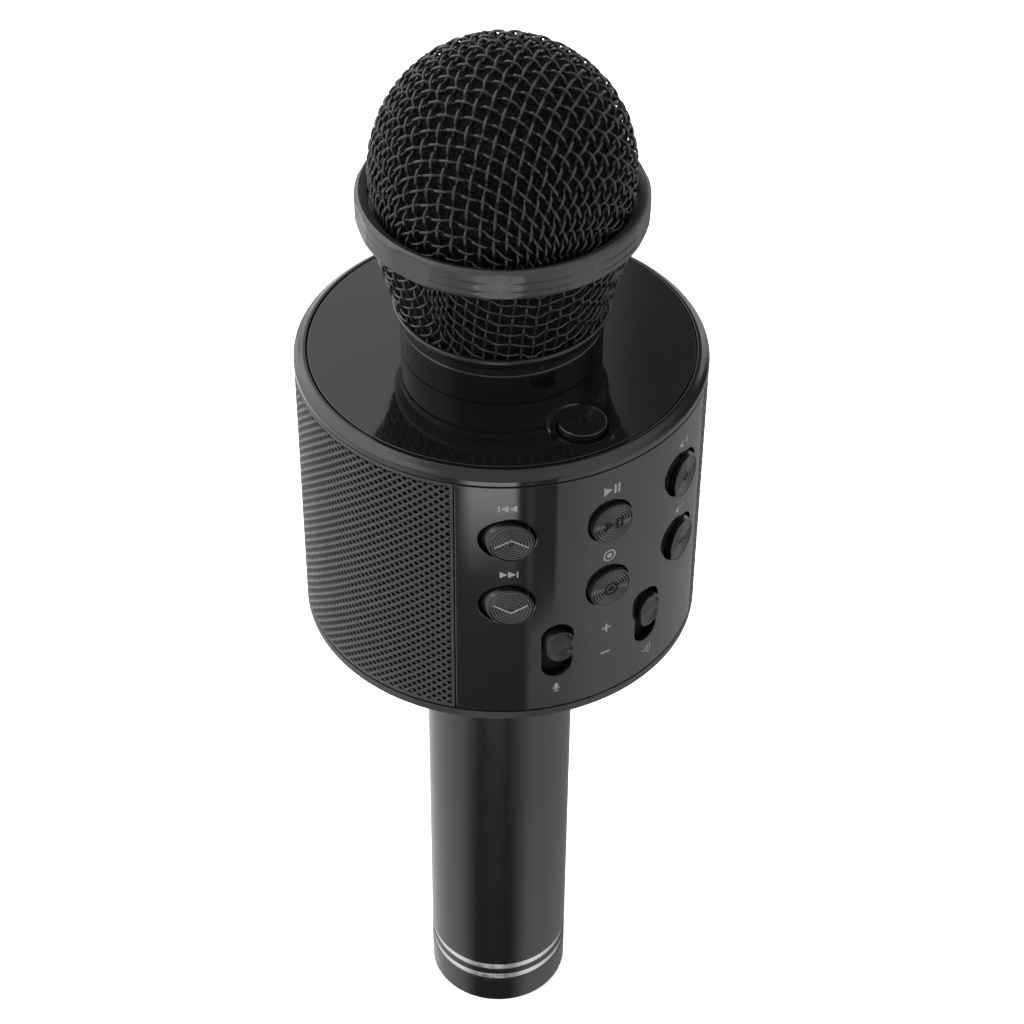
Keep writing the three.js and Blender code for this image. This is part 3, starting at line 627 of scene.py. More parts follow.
# ---------------------------------------------------------------- drum
DRUM_RADIUS = corners("bottom_cover")[1][0]
COVER_LOW = corners("bottom_cover")[0][2]
COVER_TOP = 111.7
WALL_LOW = corners("control_panel")[0][2]
WALL_TOP = corners("control_panel")[1][2]
PLATE_TOP = corners("top_plate")[1][2]
PLATE_RADIUS = corners("top_plate")[1][0]
PLATE_THICK = 2.4
PANEL_REACH = corners("control_panel")[1][0]
POWER_Y = sum(c[1] for c in corners("power_button")) / 2
POWER_TOP = corners("power_button")[1][2]
DISH_RADIUS, DISH_SLOPE, DISH_DEPTH = 6.6, 1.4, 0.5
CAP_RADIUS = 4.1
HOLE_RADIUS = 4.35
PROUD = 1.05  # how far the caps stand out of the panel
COLUMN_X = 17.8
ROW_ZS = (153.3, 138.3)
SLIDER_X = 9.4
SLOT_Z = 125.85
KNOB_Z = 127.7
SCREW_CIRCLE = 30.5
SCREW_RADIUS = 2.3
SCREW_SEAT = 111.5
HANDLE_SOCKET = 14.6  # bore of the cover, round the handle


def smoothstep(t):
    t = np.clip(t, 0, 1)
    return t * t * (3 - 2 * t)


def wall_normal(points):
    """Outward normals for points on the drum's wall, and zeros for the rest."""
    r = np.hypot(points[:, 0], points[:, 1])
    on = np.abs(r - DRUM_RADIUS) < 1e-4
    return np.stack([points[:, 0], points[:, 1], np.zeros(len(points))], 1) * (on / r)[:, None]


def dish_depth(away):
    """Depth of the shallow dish round the power button, at a distance from its middle."""
    return DISH_DEPTH * smoothstep((DISH_RADIUS - away) / DISH_SLOPE)


def plate_normal(points):
    """Upward normals for points on the plate's top and in its dish, and zeros for the rest."""
    off = points[:, :2] - np.array([0, POWER_Y])
    away = np.maximum(np.hypot(off[:, 0], off[:, 1]), 1e-9)
    step = 1e-3
    slope = (dish_depth(away + step) - dish_depth(away - step)) / (2 * step)
    on = np.abs(points[:, 2] - (PLATE_TOP - dish_depth(away))) < 1e-4
    normal = np.concatenate([off * (slope / away)[:, None], np.ones((len(points), 1))], 1)
    return normal / np.linalg.norm(normal, axis=1)[:, None] * on[:, None]


def make_panel():
    def on_wall(uv, depth):
        r = DRUM_RADIUS - depth
        return np.stack([uv[:, 0], -np.sqrt(np.maximum(r * r - uv[:, 0] ** 2, 0)), uv[:, 1]], 1)
    zs = np.linspace(WALL_LOW, WALL_TOP, 26)
    xs = DRUM_RADIUS * np.sin(np.linspace(-1, 1, 40) * asin(PANEL_REACH / DRUM_RADIUS))
    outer = [(x, WALL_LOW) for x in xs[:-1]] + [(PANEL_REACH, z) for z in zs[:-1]]
    outer += [(x, WALL_TOP) for x in xs[:0:-1]] + [(-PANEL_REACH, z) for z in zs[:0:-1]]
    holes = [circle(HOLE_RADIUS, 72, x, z) for x in (-COLUMN_X, 0, COLUMN_X) for z in ROW_ZS]
    holes += [stadium(5.5, 12.5, 20, x, SLOT_Z) for x in (-SLIDER_X, SLIDER_X)]
    panel = pierced(outer, holes, 1.5, on_wall, (1.1, 1.6), 0.12, 0.22)
    piece("control_panel_smooth", panel, "base", "gloss", ["control_panel"], "piano_black", skin=wall_normal)


def make_top():
    """The top plate, with the shallow dish round the power button, and the bezel round it."""
    def on_plate(uv, depth):
        dish = dish_depth(np.hypot(uv[:, 0], uv[:, 1] - POWER_Y)) * (depth < 1.5)
        return np.stack([uv[:, 0], uv[:, 1], PLATE_TOP - depth - dish], 1)
    rings = [circle(r, 72, 0, POWER_Y) for r in (5.15, 5.4, 5.65, 5.9, 6.15, 6.4, 6.65, 7.0)]
    holes = [circle(17.2, 120), circle(4.55, 72, 0, POWER_Y)]
    plate = pierced(circle(PLATE_RADIUS, 260), holes, PLATE_THICK, on_plate, (1.3, 1.3), 0.15, 0.2, rings)
    piece("top_plate_smooth", plate, "base", "gloss", ["top_plate"], "piano_black", skin=plate_normal)

    low = corners("bezel_ring")[0][2]
    bezel = rounded([
        (34.8, low), (DRUM_RADIUS, low, 0.08), (DRUM_RADIUS, 166.4, 0.4), (36.2, 166.95, 0.6),
        (35.4, PLATE_TOP - 0.04, 0.5), (34.8, PLATE_TOP - 0.02, 0.12),
    ], 6)
    piece("bezel_ring_smooth", turned(bezel, 300), "base", "gloss", ["bezel_ring"], "piano_black")


def make_cover():
    """The bottom cover, with its socket for the handle and its three screws."""
    spots = [np.array(polar(SCREW_CIRCLE, radians(a))) for a in (-60, 60, 180)]
    holes = [circle(HANDLE_SOCKET, 140)] + [circle(2.7, 40, *spot) for spot in spots]
    cover = pierced(circle(DRUM_RADIUS, 280), holes, COVER_TOP - COVER_LOW, level(COVER_LOW), (2.2, 2.2),
                    0.3, 0.25)
    socket = turned([(r, z) for r, z in (
        (HANDLE_SOCKET, COVER_TOP - 0.2), (17.4, COVER_TOP - 0.2), (17.4, 122), (HANDLE_SOCKET, 122))], 140)
    piece("bottom_cover_smooth", together(cover, socket), "base", "satin", ["bottom_cover"], "satin_plastic")
    near, far = 0.25, 1.2  # half width and reach of the cross in a screw's head
    quarter = np.array([(near, near), (near, far), (-near, far)])
    cross = np.concatenate([quarter @ np.array([(cos(t), sin(t)), (-sin(t), cos(t))])
                            for t in TURN / 4 * np.arange(4)])
    head_low = SCREW_SEAT - 1.4
    for i, spot in enumerate(spots):
        def on_head(uv, depth):
            away = np.hypot(uv[:, 0], uv[:, 1])
            dome = 0.35 * (away / SCREW_RADIUS) ** 2 * (depth < 0.5)
            return np.stack([spot[0] + uv[:, 0], spot[1] + uv[:, 1], head_low + depth + dome], 1)
        head = pierced(circle(SCREW_RADIUS, 48), [cross], 0.75, on_head, (0.35, 0.35), 0.25, 0.05)
        rest = rounded([
            (0, head_low + 0.72), (SCREW_RADIUS, head_low + 0.72), (SCREW_RADIUS, SCREW_SEAT, 0.1),
            (1.05, SCREW_SEAT), (1.05, 116.6), (0.3, 117.4), (0, 117.4),
        ])
        points, faces = turned(rest, 40)
        screw = together(head, (points + np.array([*spot, 0]), faces))
        piece(f"cover_screw_{i + 1}", screw, "base", "steel", [f"bottom_screw_{i + 1}"], "steel_part")


# ---------------------------------------------------------------- grille
WRAP_FROM = radians(43.5)
COLUMNS = 181
ROWS = 31
HOLE_SEGMENTS = 12
CLOTH_RADII = (35.5, 35.9)


def make_grille():
    wrap_to = TURN - WRAP_FROM
    px = DRUM_RADIUS * (wrap_to - WRAP_FROM) / COLUMNS
    tall = WALL_TOP - WALL_LOW
    pz = tall / (ROWS + 0.25)
    # one cell: a rhomb round a hole, from the rounded strand down the hole's wall to the back
    k = np.arange(HOLE_SEGMENTS)
    tips = np.array([(px, 0), (0, pz / 2), (-px, 0), (0, -pz / 2)])
    corner, share = k * 4 // HOLE_SEGMENTS, (k * 4 / HOLE_SEGMENTS % 1)[:, None]
    rhomb = tips[corner] * (1 - share) + tips[(corner + 1) % 4] * share
    ring = circle(1, HOLE_SEGMENTS)
    layers = [(rhomb, 0.02), (rhomb * 0.45 + ring * 0.27, 0.05), (ring * 0.44, 0.14), (ring * 0.41, 0.3),
              (ring * 0.41, 0.62), (rhomb, 0.76)]
    cells = np.array([(i * px, (j + 0.5 + i % 2 / 2) * pz) for i in range(1, COLUMNS) for j in range(ROWS)])
    cells = cells[cells[:, 1] < tall - pz * 0.4]
    blocks = []
    for loop, depth in layers:
        uv = cells[:, None] + loop[None]
        x, y = polar(DRUM_RADIUS - depth, WRAP_FROM + uv[..., 0] / DRUM_RADIUS)
        blocks.append(np.stack([x, y, WALL_LOW + uv[..., 1]], -1))
    points, back = merged(np.stack(blocks, 1).reshape(-1, 3), 1e-3)
    numbers = back.reshape(len(cells), len(layers), HOLE_SEGMENTS)
    # the front and back edges of cells without a neighbour are joined
    rim = np.array(strip(numbers[:, 0], numbers[:, -1]))
    _, where, times = np.unique(np.sort(rim[:, :2], 1), axis=0, return_inverse=True, return_counts=True)
    faces = strip(numbers[:, :-1], numbers[:, 1:]) + rim[times[where.ravel()] == 1].tolist()
    piece("grille_mesh", (points, faces), "base", "grille", ["grille_wrap"], "grille_steel", sharp=None,
          weigh=False, merge=False)

    # folded edges of the grille sheet
    outer, inner = DRUM_RADIUS - 0.01, DRUM_RADIUS - 0.79
    fold, side = pz * 0.42, 0.55 * px / DRUM_RADIUS
    folds = []
    for low, high in ((WALL_LOW, WALL_LOW + fold), (WALL_TOP - fold, WALL_TOP)):
        outline = rounded([(inner, low), (outer, low, 0.2), (outer, high, 0.2), (inner, high)], 4)
        folds.append(turned(outline, 260, None, WRAP_FROM, wrap_to))
    low, high = WALL_LOW + 0.3, WALL_TOP - 0.3
    for a0, a1 in ((WRAP_FROM, WRAP_FROM + side), (wrap_to - side, wrap_to)):
        folds.append(turned([(inner, low), (outer, low), (outer, high), (inner, high)], 2, None, a0, a1))
    piece("grille_edges", together(*folds), "base", "grille", slot="grille_steel")

    low, high = CLOTH_RADII
    outline = [(high, WALL_LOW), (high, WALL_TOP), (low, WALL_TOP), (low, WALL_LOW)]
    cloth = turned(outline, 180, None, WRAP_FROM, wrap_to)
    sheet = piece("speaker_cloth_sheet", cloth, "base", "cloth", ["grille_cloth"], "speaker_cloth")


# ---------------------------------------------------------------- controls
def lean(x, z):
    """place(uv, w) for a control at column x: w is its height over the panel, measured square to it."""
    azimuth = asin(x / DRUM_RADIUS)
    across = np.array([cos(azimuth), sin(azimuth), 0])
    out = np.array([0, -1 / cos(azimuth), 0])
    foot = np.array([x, -DRUM_RADIUS * cos(azimuth), z])

    def place(uv, w):
        return foot + uv[:, :1] * across + uv[:, 1:2] * np.array([0, 0, 1]) + np.asarray(w)[:, None] * out
    return place


def on_skin(x, z):
    """place(uv, w) for print that follows the panel's curve round (x, z)."""
    azimuth = asin(x / DRUM_RADIUS)

    def place(uv, w):
        px, py = polar(DRUM_RADIUS + np.asarray(w), azimuth + uv[:, 0] / DRUM_RADIUS)
        return np.stack([px, py, z + uv[:, 1]], 1)
    return place


def back_end(node, x):
    """Height of the back of a control's CAD solid, as lean() measures it."""
    tilt = cos(asin(x / DRUM_RADIUS))
    return -(corners(node)[1][1] + DRUM_RADIUS * tilt) * tilt


def turned_at(outline, place, sides=96, **sweep):
    points, faces = turned(outline, sides, **sweep)
    return place(points[:, :2], points[:, 2]), faces


FIRST_GROOVE = 0.5
GROOVE_STEPS = 8
CAP_ROUND = 0.3


def groove_pitch(radius, last):
    """Number and spacing of the turned grooves that leave a plain edge of width last."""
    count = round((radius - last - FIRST_GROOVE) / 0.5)
    return count, (radius - last - FIRST_GROOVE) / count


def grooved(radius, rise, last=0.5, depth=0.16):
    """Outline (r, height) of a cap's top with turned grooves, from its middle to its rounded edge."""
    count, pitch = groove_pitch(radius, last)
    made = [(0, rise - 0.02), (FIRST_GROOVE * 0.6, rise - 0.02)]
    for k in range(count * GROOVE_STEPS + 1):
        fall = (0.5 + 0.5 * cos(TURN * k / GROOVE_STEPS)) ** 1.5
        made.append((FIRST_GROOVE + k * pitch / GROOVE_STEPS, rise - depth * fall - 0.01))
    made += [(radius - CAP_ROUND - 0.06, rise - 0.015), (radius - CAP_ROUND, rise - 0.02)]
    for angle in np.arange(1, 6) / 5 * pi / 2:
        made.append((radius - CAP_ROUND * (1 - sin(angle)), rise - 0.02 - CAP_ROUND * (1 - cos(angle))))
    return made


def crest_highlights(radius, rise, place, last):
    """Thin crests between the grooves that grooved() turns, coloured paler than the cap: a painted highlight
    along each crest.
    """
    count, pitch = groove_pitch(radius, last)
    section = np.array([(-0.07, -0.06), (-0.05, -0.008), (0, -0.001), (0.05, -0.008), (0.07, -0.06)])
    return together(*(
        turned_at(section + (FIRST_GROOVE + (k + 0.5) * pitch, rise), place, 80) for k in range(count)))


def sign(kind, low, high, place, s=1.0):
    """A small generic sign of size s, from height low to high."""
    def poly(*points):
        return prism(np.array(points) * s, low, high, place)

    def dot(radius, count, x=0.0):
        return prism(circle(radius * s, count, x * s, 0), low, high, place)

    def bar(a, b, width=0.34):
        """A flat bar with square ends."""
        a, b = np.array(a) * s, np.array(b) * s
        along = (b - a) / np.linalg.norm(b - a)
        side = np.array([-along[1], along[0]]) * width * s / 2
        return prism([a - side, b - side, b + side, a + side], low, high, place)

    def arc(radius, width, x=0.0, y=0.0, count=28, **sweep):
        r0, r1 = (radius - width / 2) * s, (radius + width / 2) * s
        offset = np.array([x, y]) * s
        return turned_at([(r0, low), (r1, low), (r1, high), (r0, high)],
                         lambda uv, w: place(uv + offset, w), count, **sweep)
    speaker = poly((-2.0, -0.35), (-1.5, -0.35), (-0.7, -0.9), (-0.7, 0.9), (-1.5, 0.35), (-2.0, 0.35))
    dash = bar((0.1, 0), (1.7, 0), 0.3)
    echo = [arc(r, 0.24, -1.5, count=12, start=radians(50), end=radians(130)) for r in (1.0, 1.8, 2.6)]
    return {
        "up": [bar((-3.0, -0.8), (0.0, 0.85), 0.24), bar((2.9, -0.8), (-0.1, 0.85), 0.24)],
        "down": [bar((-3.1, 0.8), (0.0, -1.1), 0.24), bar((2.8, 0.7), (-0.1, -1.1), 0.24)],
        "play": [poly((-1.9, -1.15), (0.1, 0), (-1.9, 1.15)), bar((0.75, -1.15), (0.75, 1.15), 0.5),
                 bar((1.65, -1.15), (1.65, 1.15), 0.5)],
        "record": [arc(1.3, 0.34), dot(0.6, 20)],
        "plus": [bar((-1.1, 0), (1.1, 0), 0.42), bar((0, -1.1), (0, -0.2), 0.42),
                 bar((0, 0.2), (0, 1.1), 0.42)],
        "minus": [bar((-1.1, 0), (1.1, 0), 0.42)],
        "previous": [bar((-1.9, -0.8), (-1.9, 0.8)), poly((-1.6, 0), (0, -0.85), (0, 0.85)),
                     poly((0.1, 0), (1.7, -0.85), (1.7, 0.85))],
        "next": [bar((1.9, -0.8), (1.9, 0.8)), poly((1.6, 0), (0, 0.85), (0, -0.85)),
                 poly((-0.1, 0), (-1.7, 0.85), (-1.7, -0.85))],
        "louder": [speaker, dash, bar((0.9, -0.8), (0.9, -0.15), 0.3), bar((0.9, 0.15), (0.9, 0.8), 0.3)],
        "quieter": [speaker, dash],
        "voice": [prism(stadium(0.95 * s, 1.7 * s, 8, 0, 0.35 * s), low, high, place),
                  arc(0.95, 0.22, 0, 0.2, 14, start=-1.35, end=1.35),
                  bar((0, -1.35), (0, -0.86), 0.24), bar((-0.6, -1.35), (0.6, -1.35), 0.24)],
        "echo": [dot(0.28, 14, -1.5), *echo],
        "power": [arc(1.25, 0.3, start=radians(216), end=radians(504)), bar((0, 0.35), (0, 1.65), 0.3)],
    }[kind]


BUTTONS = {  # column, row, sign on the cap, sign over the cap
    "previous": (-COLUMN_X, ROW_ZS[0], "up", "previous"),
    "next": (-COLUMN_X, ROW_ZS[1], "down", "next"),
    "play": (0, ROW_ZS[0], "play", "play"),
    "record": (0, ROW_ZS[1], "record", "record"),
    "volume_up": (COLUMN_X, ROW_ZS[0], "plus", "louder"),
    "volume_down": (COLUMN_X, ROW_ZS[1], "minus", "quieter"),
}
LABEL_RISE = 7.1  # from a button's middle to the sign over it
PRINTS = (  # name, sign, x, z, size
    ("plus_print", "plus", 0, 128.05, 0.85), ("minus_print", "minus", 0, 122.0, 0.85),
    ("voice_label", "voice", -SLIDER_X - 0.1, 116.9, 0.74),
    ("echo_label", "echo", SLIDER_X + 0.6, 116.9, 0.74),
)


def make_label(name, kind, x, z, size):
    made = together(*sign(kind, -0.03, 0.025, on_skin(x, z), size))
    piece(name, made, "base", "print", slot="piano_black", weigh=False)


def make_buttons():
    for name, (x, z, mark, label) in BUTTONS.items():
        place = lean(x, z)
        stem = back_end(f"{name}_button", x)
        last = 0.36 if x else 0.5
        outline = grooved(CAP_RADIUS, PROUD, last) + [
            (CAP_RADIUS, -2.2), (5.0, -2.2), (5.1, -2.3), (5.1, -3.1), (5.0, -3.2), (1.5, -3.2),
            (1.5, stem + 0.2), (1.3, stem), (0, stem),
        ]
        piece(f"{name}_cap", turned_at(outline, place), name, "key", [f"{name}_button"], "button_plastic",
              sharp=50)
        # the crests carry a painted highlight in a paler grey
        piece(f"{name}_ridges", crest_highlights(CAP_RADIUS, PROUD, place, last), name, "crest_highlight",
              slot="button_plastic", sharp=None, weigh=False)
        pale = mark in ("up", "down")
        made = together(*sign(mark, PROUD - 0.12, PROUD, place, 1.0 if pale else 0.95))
        piece(f"{name}_mark", made, name, "mark" if pale else "ink", slot="button_plastic", weigh=False)
        make_label(f"{name}_label", label, x, z + LABEL_RISE, 0.86)

    outline = grooved(4.25, POWER_TOP, depth=0.05) + [
        (4.25, 164.9), (5.3, 164.9), (5.3, 163.9), (1.5, 163.9), (1.5, 162.6), (0, 162.6)]
    cap = turned_at(outline, level(0, y=POWER_Y))
    piece("power_cap", cap, "power", "gloss", ["power_button"], "button_plastic", sharp=50)
    marks = together(*sign("power", -0.12, -0.004, level(POWER_TOP, y=POWER_Y)))
    piece("power_mark", marks, "power", "key", slot="button_plastic", weigh=False)
    for row in PRINTS:
        make_label(*row)


KNOB_SIZE = (4.9, 6.9)
KNOB_RISE = 1.19
KNOB_FOOT = -2.15
BOWL_DEPTH = 0.42


def make_knobs():
    half, reach = KNOB_SIZE[0] / 2, (KNOB_SIZE[1] - KNOB_SIZE[0]) / 2
    edge = stadium(*KNOB_SIZE, 22)
    shares = np.concatenate([np.linspace(0.02, 0.9, 34), [0.925, 0.95, 0.97, 0.985, 0.995, 1.0]])
    uv = (edge[None] * shares[:, None, None]).reshape(-1, 2)
    u, v = np.abs(uv).T
    rim = half - np.hypot(u, np.maximum(v - reach, 0))  # distance in from the edge
    # two finger bowls with a bar between them, faint turned grooves, and a rounded edge
    bowl = smoothstep((v - 0.12) / 1.1) * smoothstep((rim - 0.1) / 0.8)
    groove = 0.5 - 0.5 * np.cos(TURN * np.hypot(u, v) / 0.46)
    groove *= smoothstep((rim - 0.25) / 0.3) * smoothstep((v - 0.15) / 0.3)
    fall = 1 - np.sqrt(np.clip(1 - (1 - np.clip(rim / 0.3, 0, 1)) ** 2, 0, 1))
    height = KNOB_RISE - BOWL_DEPTH * bowl - 0.07 * groove - 0.3 * fall
    uv, height = np.concatenate([uv, edge]), np.concatenate([height, np.full(len(edge), KNOB_FOOT)])
    for name, x in (("mic_volume", -SLIDER_X), ("remix", SLIDER_X)):
        place = lean(x, KNOB_Z)
        dust = prism(box_loop(7.2, 17.8, 0.5), -2.9, -2.1, place)
        piece(f"{name}_dust_strip", dust, name, "matte", slot="button_plastic")
        lever = prism(box_loop(1.6, 3.0, 0.2), back_end(f"{name}_knob", x) + 0.02, -2.5, place)
        shape = together(skinned(place(uv, height), len(edge)), lever)
        piece(f"{name}_slider", shape, name, "key", [f"{name}_knob"], "button_plastic", sharp=42)


# ---------------------------------------------------------------- neck and capsule
NECK_RADIUS = 18
NECK_TOP = 174.0
NECK_BORE = 12.5
THREAD_TOP = corners("neck")[1][2]
THREAD_RADIUS, THREAD_PITCH, THREAD_DEPTH = 16.5, 1.3, 0.45
CAPSULE_RADIUS, CAPSULE_TOP = 4.85, 195.6


def make_neck():
    outline = rounded([
        (NECK_BORE, 160.5), (14.8, 160.5), (14.8, 165), (16.9, 165), (16.9, PLATE_TOP + 0.05),
        (NECK_RADIUS, PLATE_TOP + 0.05, 0.15), (NECK_RADIUS, NECK_TOP, 0.5), (THREAD_RADIUS, NECK_TOP),
        (THREAD_RADIUS, THREAD_TOP, 0.5), (NECK_BORE, THREAD_TOP, 0.3),
    ])
    # points for the screw thread between the shoulder and the lip
    i = int(np.argmin(np.hypot(outline[:, 0] - THREAD_RADIUS, outline[:, 1] - NECK_TOP)))
    low, high = NECK_TOP + 0.2, THREAD_TOP - 0.6
    thread = [(THREAD_RADIUS, z) for z in np.linspace(low, high, 72)]
    outline = np.concatenate([outline[:i + 1], thread, outline[i + 1:]])

    def cut_thread(r, a, z):
        on_thread = (np.abs(r - THREAD_RADIUS) < 1e-6) & (z > low - 0.1) & (z < high + 0.05)
        wave = 0.5 + 0.5 * np.cos(TURN * (z / THREAD_PITCH - a / TURN))
        fade = smoothstep((z - low) / 0.8) * smoothstep((high - z) / 0.8)
        return np.where(on_thread, r - THREAD_DEPTH * wave * fade, r), a, z
    piece("neck_smooth", turned(outline, 200, cut_thread), "base", "gloss", ["neck"], "piano_black", sharp=50)

    low, foot = corners("capsule_holder")[0][2], THREAD_TOP + 0.3
    holder = rounded([
        (1.6, foot), (10.8, foot), (10.8, low), (12.2, low), (12.2, foot), (15.5, foot, 0.2), (15.5, 185, 0.6),
        (7.8, 186, 0.5), (7.8, 193, 0.4), (6.3, 193, 0.2), (6.3, 187), (1.6, 187),
    ])
    piece("capsule_holder_smooth", turned(holder, 120), "base", "inner", ["capsule_holder"], "satin_plastic")
    grommet = rounded([(5.15, 187.3), (6, 187.3), (6, 195, 0.35), (5.15, 195, 0.2)])
    piece("grommet_smooth", turned(grommet, 80), "base", "rubber", ["capsule_grommet"], "soft_rubber")

    ports = [circle(0.35, 16, *spot) for spot in circle(1.9, 6)]
    lid = pierced(circle(CAPSULE_RADIUS, 80), [circle(0.45, 16), *ports], 0.4, level(CAPSULE_TOP, -1),
                  (0.7, 0.7), 0.25, 0.06)
    can = turned([(CAPSULE_RADIUS, 195.2), (CAPSULE_RADIUS, 189.3), (0, 189.3), (0, 194.6), (4.4, 194.6),
                  (4.4, 195.2)], 80)
    piece("capsule_can", together(lid, can), "base", "brass", ["mic_capsule"], "steel_part")


# ---------------------------------------------------------------- head
RING_LOW, RING_TOP = (c[2] for c in corners("head_ring"))
RING_BORE = 23.0
RING_WALL_TOP = 199.95
RING_GROOVES = (196.7, 198.3)
RING_FLATS = 10
FLAT_DISTANCE = 24.9
FLAT_BLEND = 0.012  # softens the edges between the flats
CORNER_AZIMUTH = radians(-14)
DOME_RADIUS = 23.0
DOME_Z = 204.3
DOME_FOOT = 198.6
WIRE_RADIUS = 0.26
DOME_CRIMP = 0.39
DOME_PITCH = 2.45
WIRE_JITTER = 0.03
CLOTH_AZIMUTH = radians(-52.5)  # a principal wire of the dome's cloth
CONE_AZIMUTH = radians(-15)
CONE_KNOTS = ((19.2, 178.3), (20.6, 184.0), (23.9, 194.6))
CONE_PITCHES = (2.7, 2.15)
CONE_WIRE_RADIUS = 0.225
CONE_CRIMP = 0.12
CONE_ENDS = (177.8, 195.1)
FOAM_DEPTH = 1.42  # under the meshes
FOAM_FOOT = 178.02  # on the collar
FOAM_INNER = 17.5
PATH_STEPS = 8


def cone_curve(t):
    (r0, z0), (r1, z1), (r2, z2) = CONE_KNOTS
    a, b, c = (1 - t) ** 2, 2 * t * (1 - t), t * t
    return np.stack([a * r0 + b * r1 + c * r2, a * z0 + b * z1 + c * z2], -1)


def cloth_net(profile, pitch_u, pitch_v, count):
    """Crossings of a cloth of wires of fixed pitch laid over a surface of revolution: one quarter of it.
    profile is (r, z) points from the axis outwards."""
    knots = np.concatenate([[0], np.cumsum(np.linalg.norm(np.diff(profile, axis=0), axis=1))])
    pitch = min(pitch_u, pitch_v)

    def place(s, turn):
        r, z = np.interp(s, knots, profile[:, 0]), np.interp(s, knots, profile[:, 1])
        return np.array([r * cos(turn), r * sin(turn), z])
    lies = np.full((count, count, 2), np.nan)
    net = np.full((count, count, 3), np.nan)
    for k in range(count):
        for at, step, turn in (((k, 0), pitch_u, 0.0), ((0, k), pitch_v, pi / 2)):
            if k * step < knots[-1]:
                lies[at] = k * step, turn
                net[at] = place(k * step, turn)
    for i, j in np.ndindex(count - 1, count - 1):
        # the fourth corner, a pitch away from its neighbours b and c
        a, b, c = net[i, j], net[i + 1, j], net[i, j + 1]
        if np.isnan(a + b + c).any():
            continue
        guess = b + c - a
        out = max(lies[i + 1, j][0], lies[i, j + 1][0]) + 0.3 * pitch
        if i == j == 0:
            out = hypot(pitch_u, pitch_v)
        where = np.array([out, atan2(guess[1], guess[0])])

        def miss(w):
            d = place(*w)
            return np.array([(d - b) @ (d - b) - pitch_v ** 2, (d - c) @ (d - c) - pitch_u ** 2])
        good = False
        for _ in range(25):
            off = miss(where)
            good = np.abs(off).max() < 1e-5
            if good:
                break
            slope = np.stack([(miss(where + step) - off) / 1e-4 for step in ((1e-4, 0), (0, 1e-4))], 1)
            if abs(np.linalg.det(slope)) < 1e-9:
                break
            change = np.linalg.solve(slope, off)
            change *= min(1, 1.2 / (abs(change[0]) + 1e-9), 0.12 / (abs(change[1]) + 1e-9))
            where = where - change
        if good and 0 < where[0] < knots[-1] and np.linalg.norm(place(*where) - a) > 0.35 * pitch:
            lies[i + 1, j + 1], net[i + 1, j + 1] = where, place(*where)
    return net


def smooth_path(points):
    """Catmull-Rom through points, with PATH_STEPS samples between neighbours, and where each one lies."""
    p = np.concatenate([[2 * points[0] - points[1]], points, [2 * points[-1] - points[-2]]])
    at = np.arange((len(points) - 1) * PATH_STEPS) / PATH_STEPS
    a, b, c, d = (p[at.astype(int) + k] for k in range(4))
    t = (at % 1)[:, None]
    made = 0.5 * (2 * b + (c - a) * t + (2 * a - 5 * b + 4 * c - d) * t * t + (3 * b - a - 3 * c + d) * t ** 3)
    return np.concatenate([made, points[-1:]]), np.append(at, len(points) - 1)


def runs(flags):
    """Start and end of each run of True."""
    return np.flatnonzero(np.diff(np.concatenate([[0], flags, [0]]))).reshape(-1, 2)


def woven(net, azimuth, normal_of, wire, crimp, keep):
    """Wires over and under each other along both ways of a net that is mirrored into four quarters."""
    n = net.shape[0]
    full = np.full((2 * n - 1, 2 * n - 1, 3), np.nan)
    for si in (1, -1):
        for sj in (1, -1):
            full[np.ix_(n - 1 + si * np.arange(n), n - 1 + sj * np.arange(n))] = net * np.array([si, sj, 1])
    spin = np.array([[sin(azimuth), cos(azimuth), 0], [-cos(azimuth), sin(azimuth), 0], [0, 0, 1]])
    full = full @ spin.T
    full = full + np.clip(rng.normal(0, WIRE_JITTER, full.shape), -2 * WIRE_JITTER, 2 * WIRE_JITTER)
    shapes = []
    for sign_of_way, lines in ((1, full), (-1, full.swapaxes(0, 1))):
        for row, line in enumerate(lines):
            for start, end in runs(~np.isnan(line[:, 0])):
                if end - start < 3:
                    continue
                path, at = smooth_path(line[start:end])
                normal = normal_of(path)
                # flattened waves, over one crossing wire and under the next
                wave = np.tanh(2.4 * np.cos(pi * (at + start + row))) / tanh(2.4)
                path = path + normal * (sign_of_way * crimp * wave)[:, None]
                shapes += [
                    tube_along(path[s:e], normal[s:e], wire)
                    for s, e in runs(keep(path)) if e - s > PATH_STEPS // 2
                ]
    return together(*shapes)


def dome_normal(points):
    away = points - np.array([0, 0, DOME_Z])
    return away / np.linalg.norm(away, axis=1)[:, None]


def cone_normal(points):
    (_, low), _, (_, high) = CONE_KNOTS
    t = np.clip((points[:, 2] - low) / (high - low), 0, 1)
    step = cone_curve(np.minimum(t + 0.02, 1.0)) - cone_curve(np.maximum(t - 0.02, 0))
    flat = points[:, :2] / np.linalg.norm(points[:, :2], axis=1)[:, None]
    normal = np.concatenate([flat * step[:, 1:2], -step[:, 0:1]], 1)
    return normal / np.linalg.norm(normal, axis=1)[:, None]


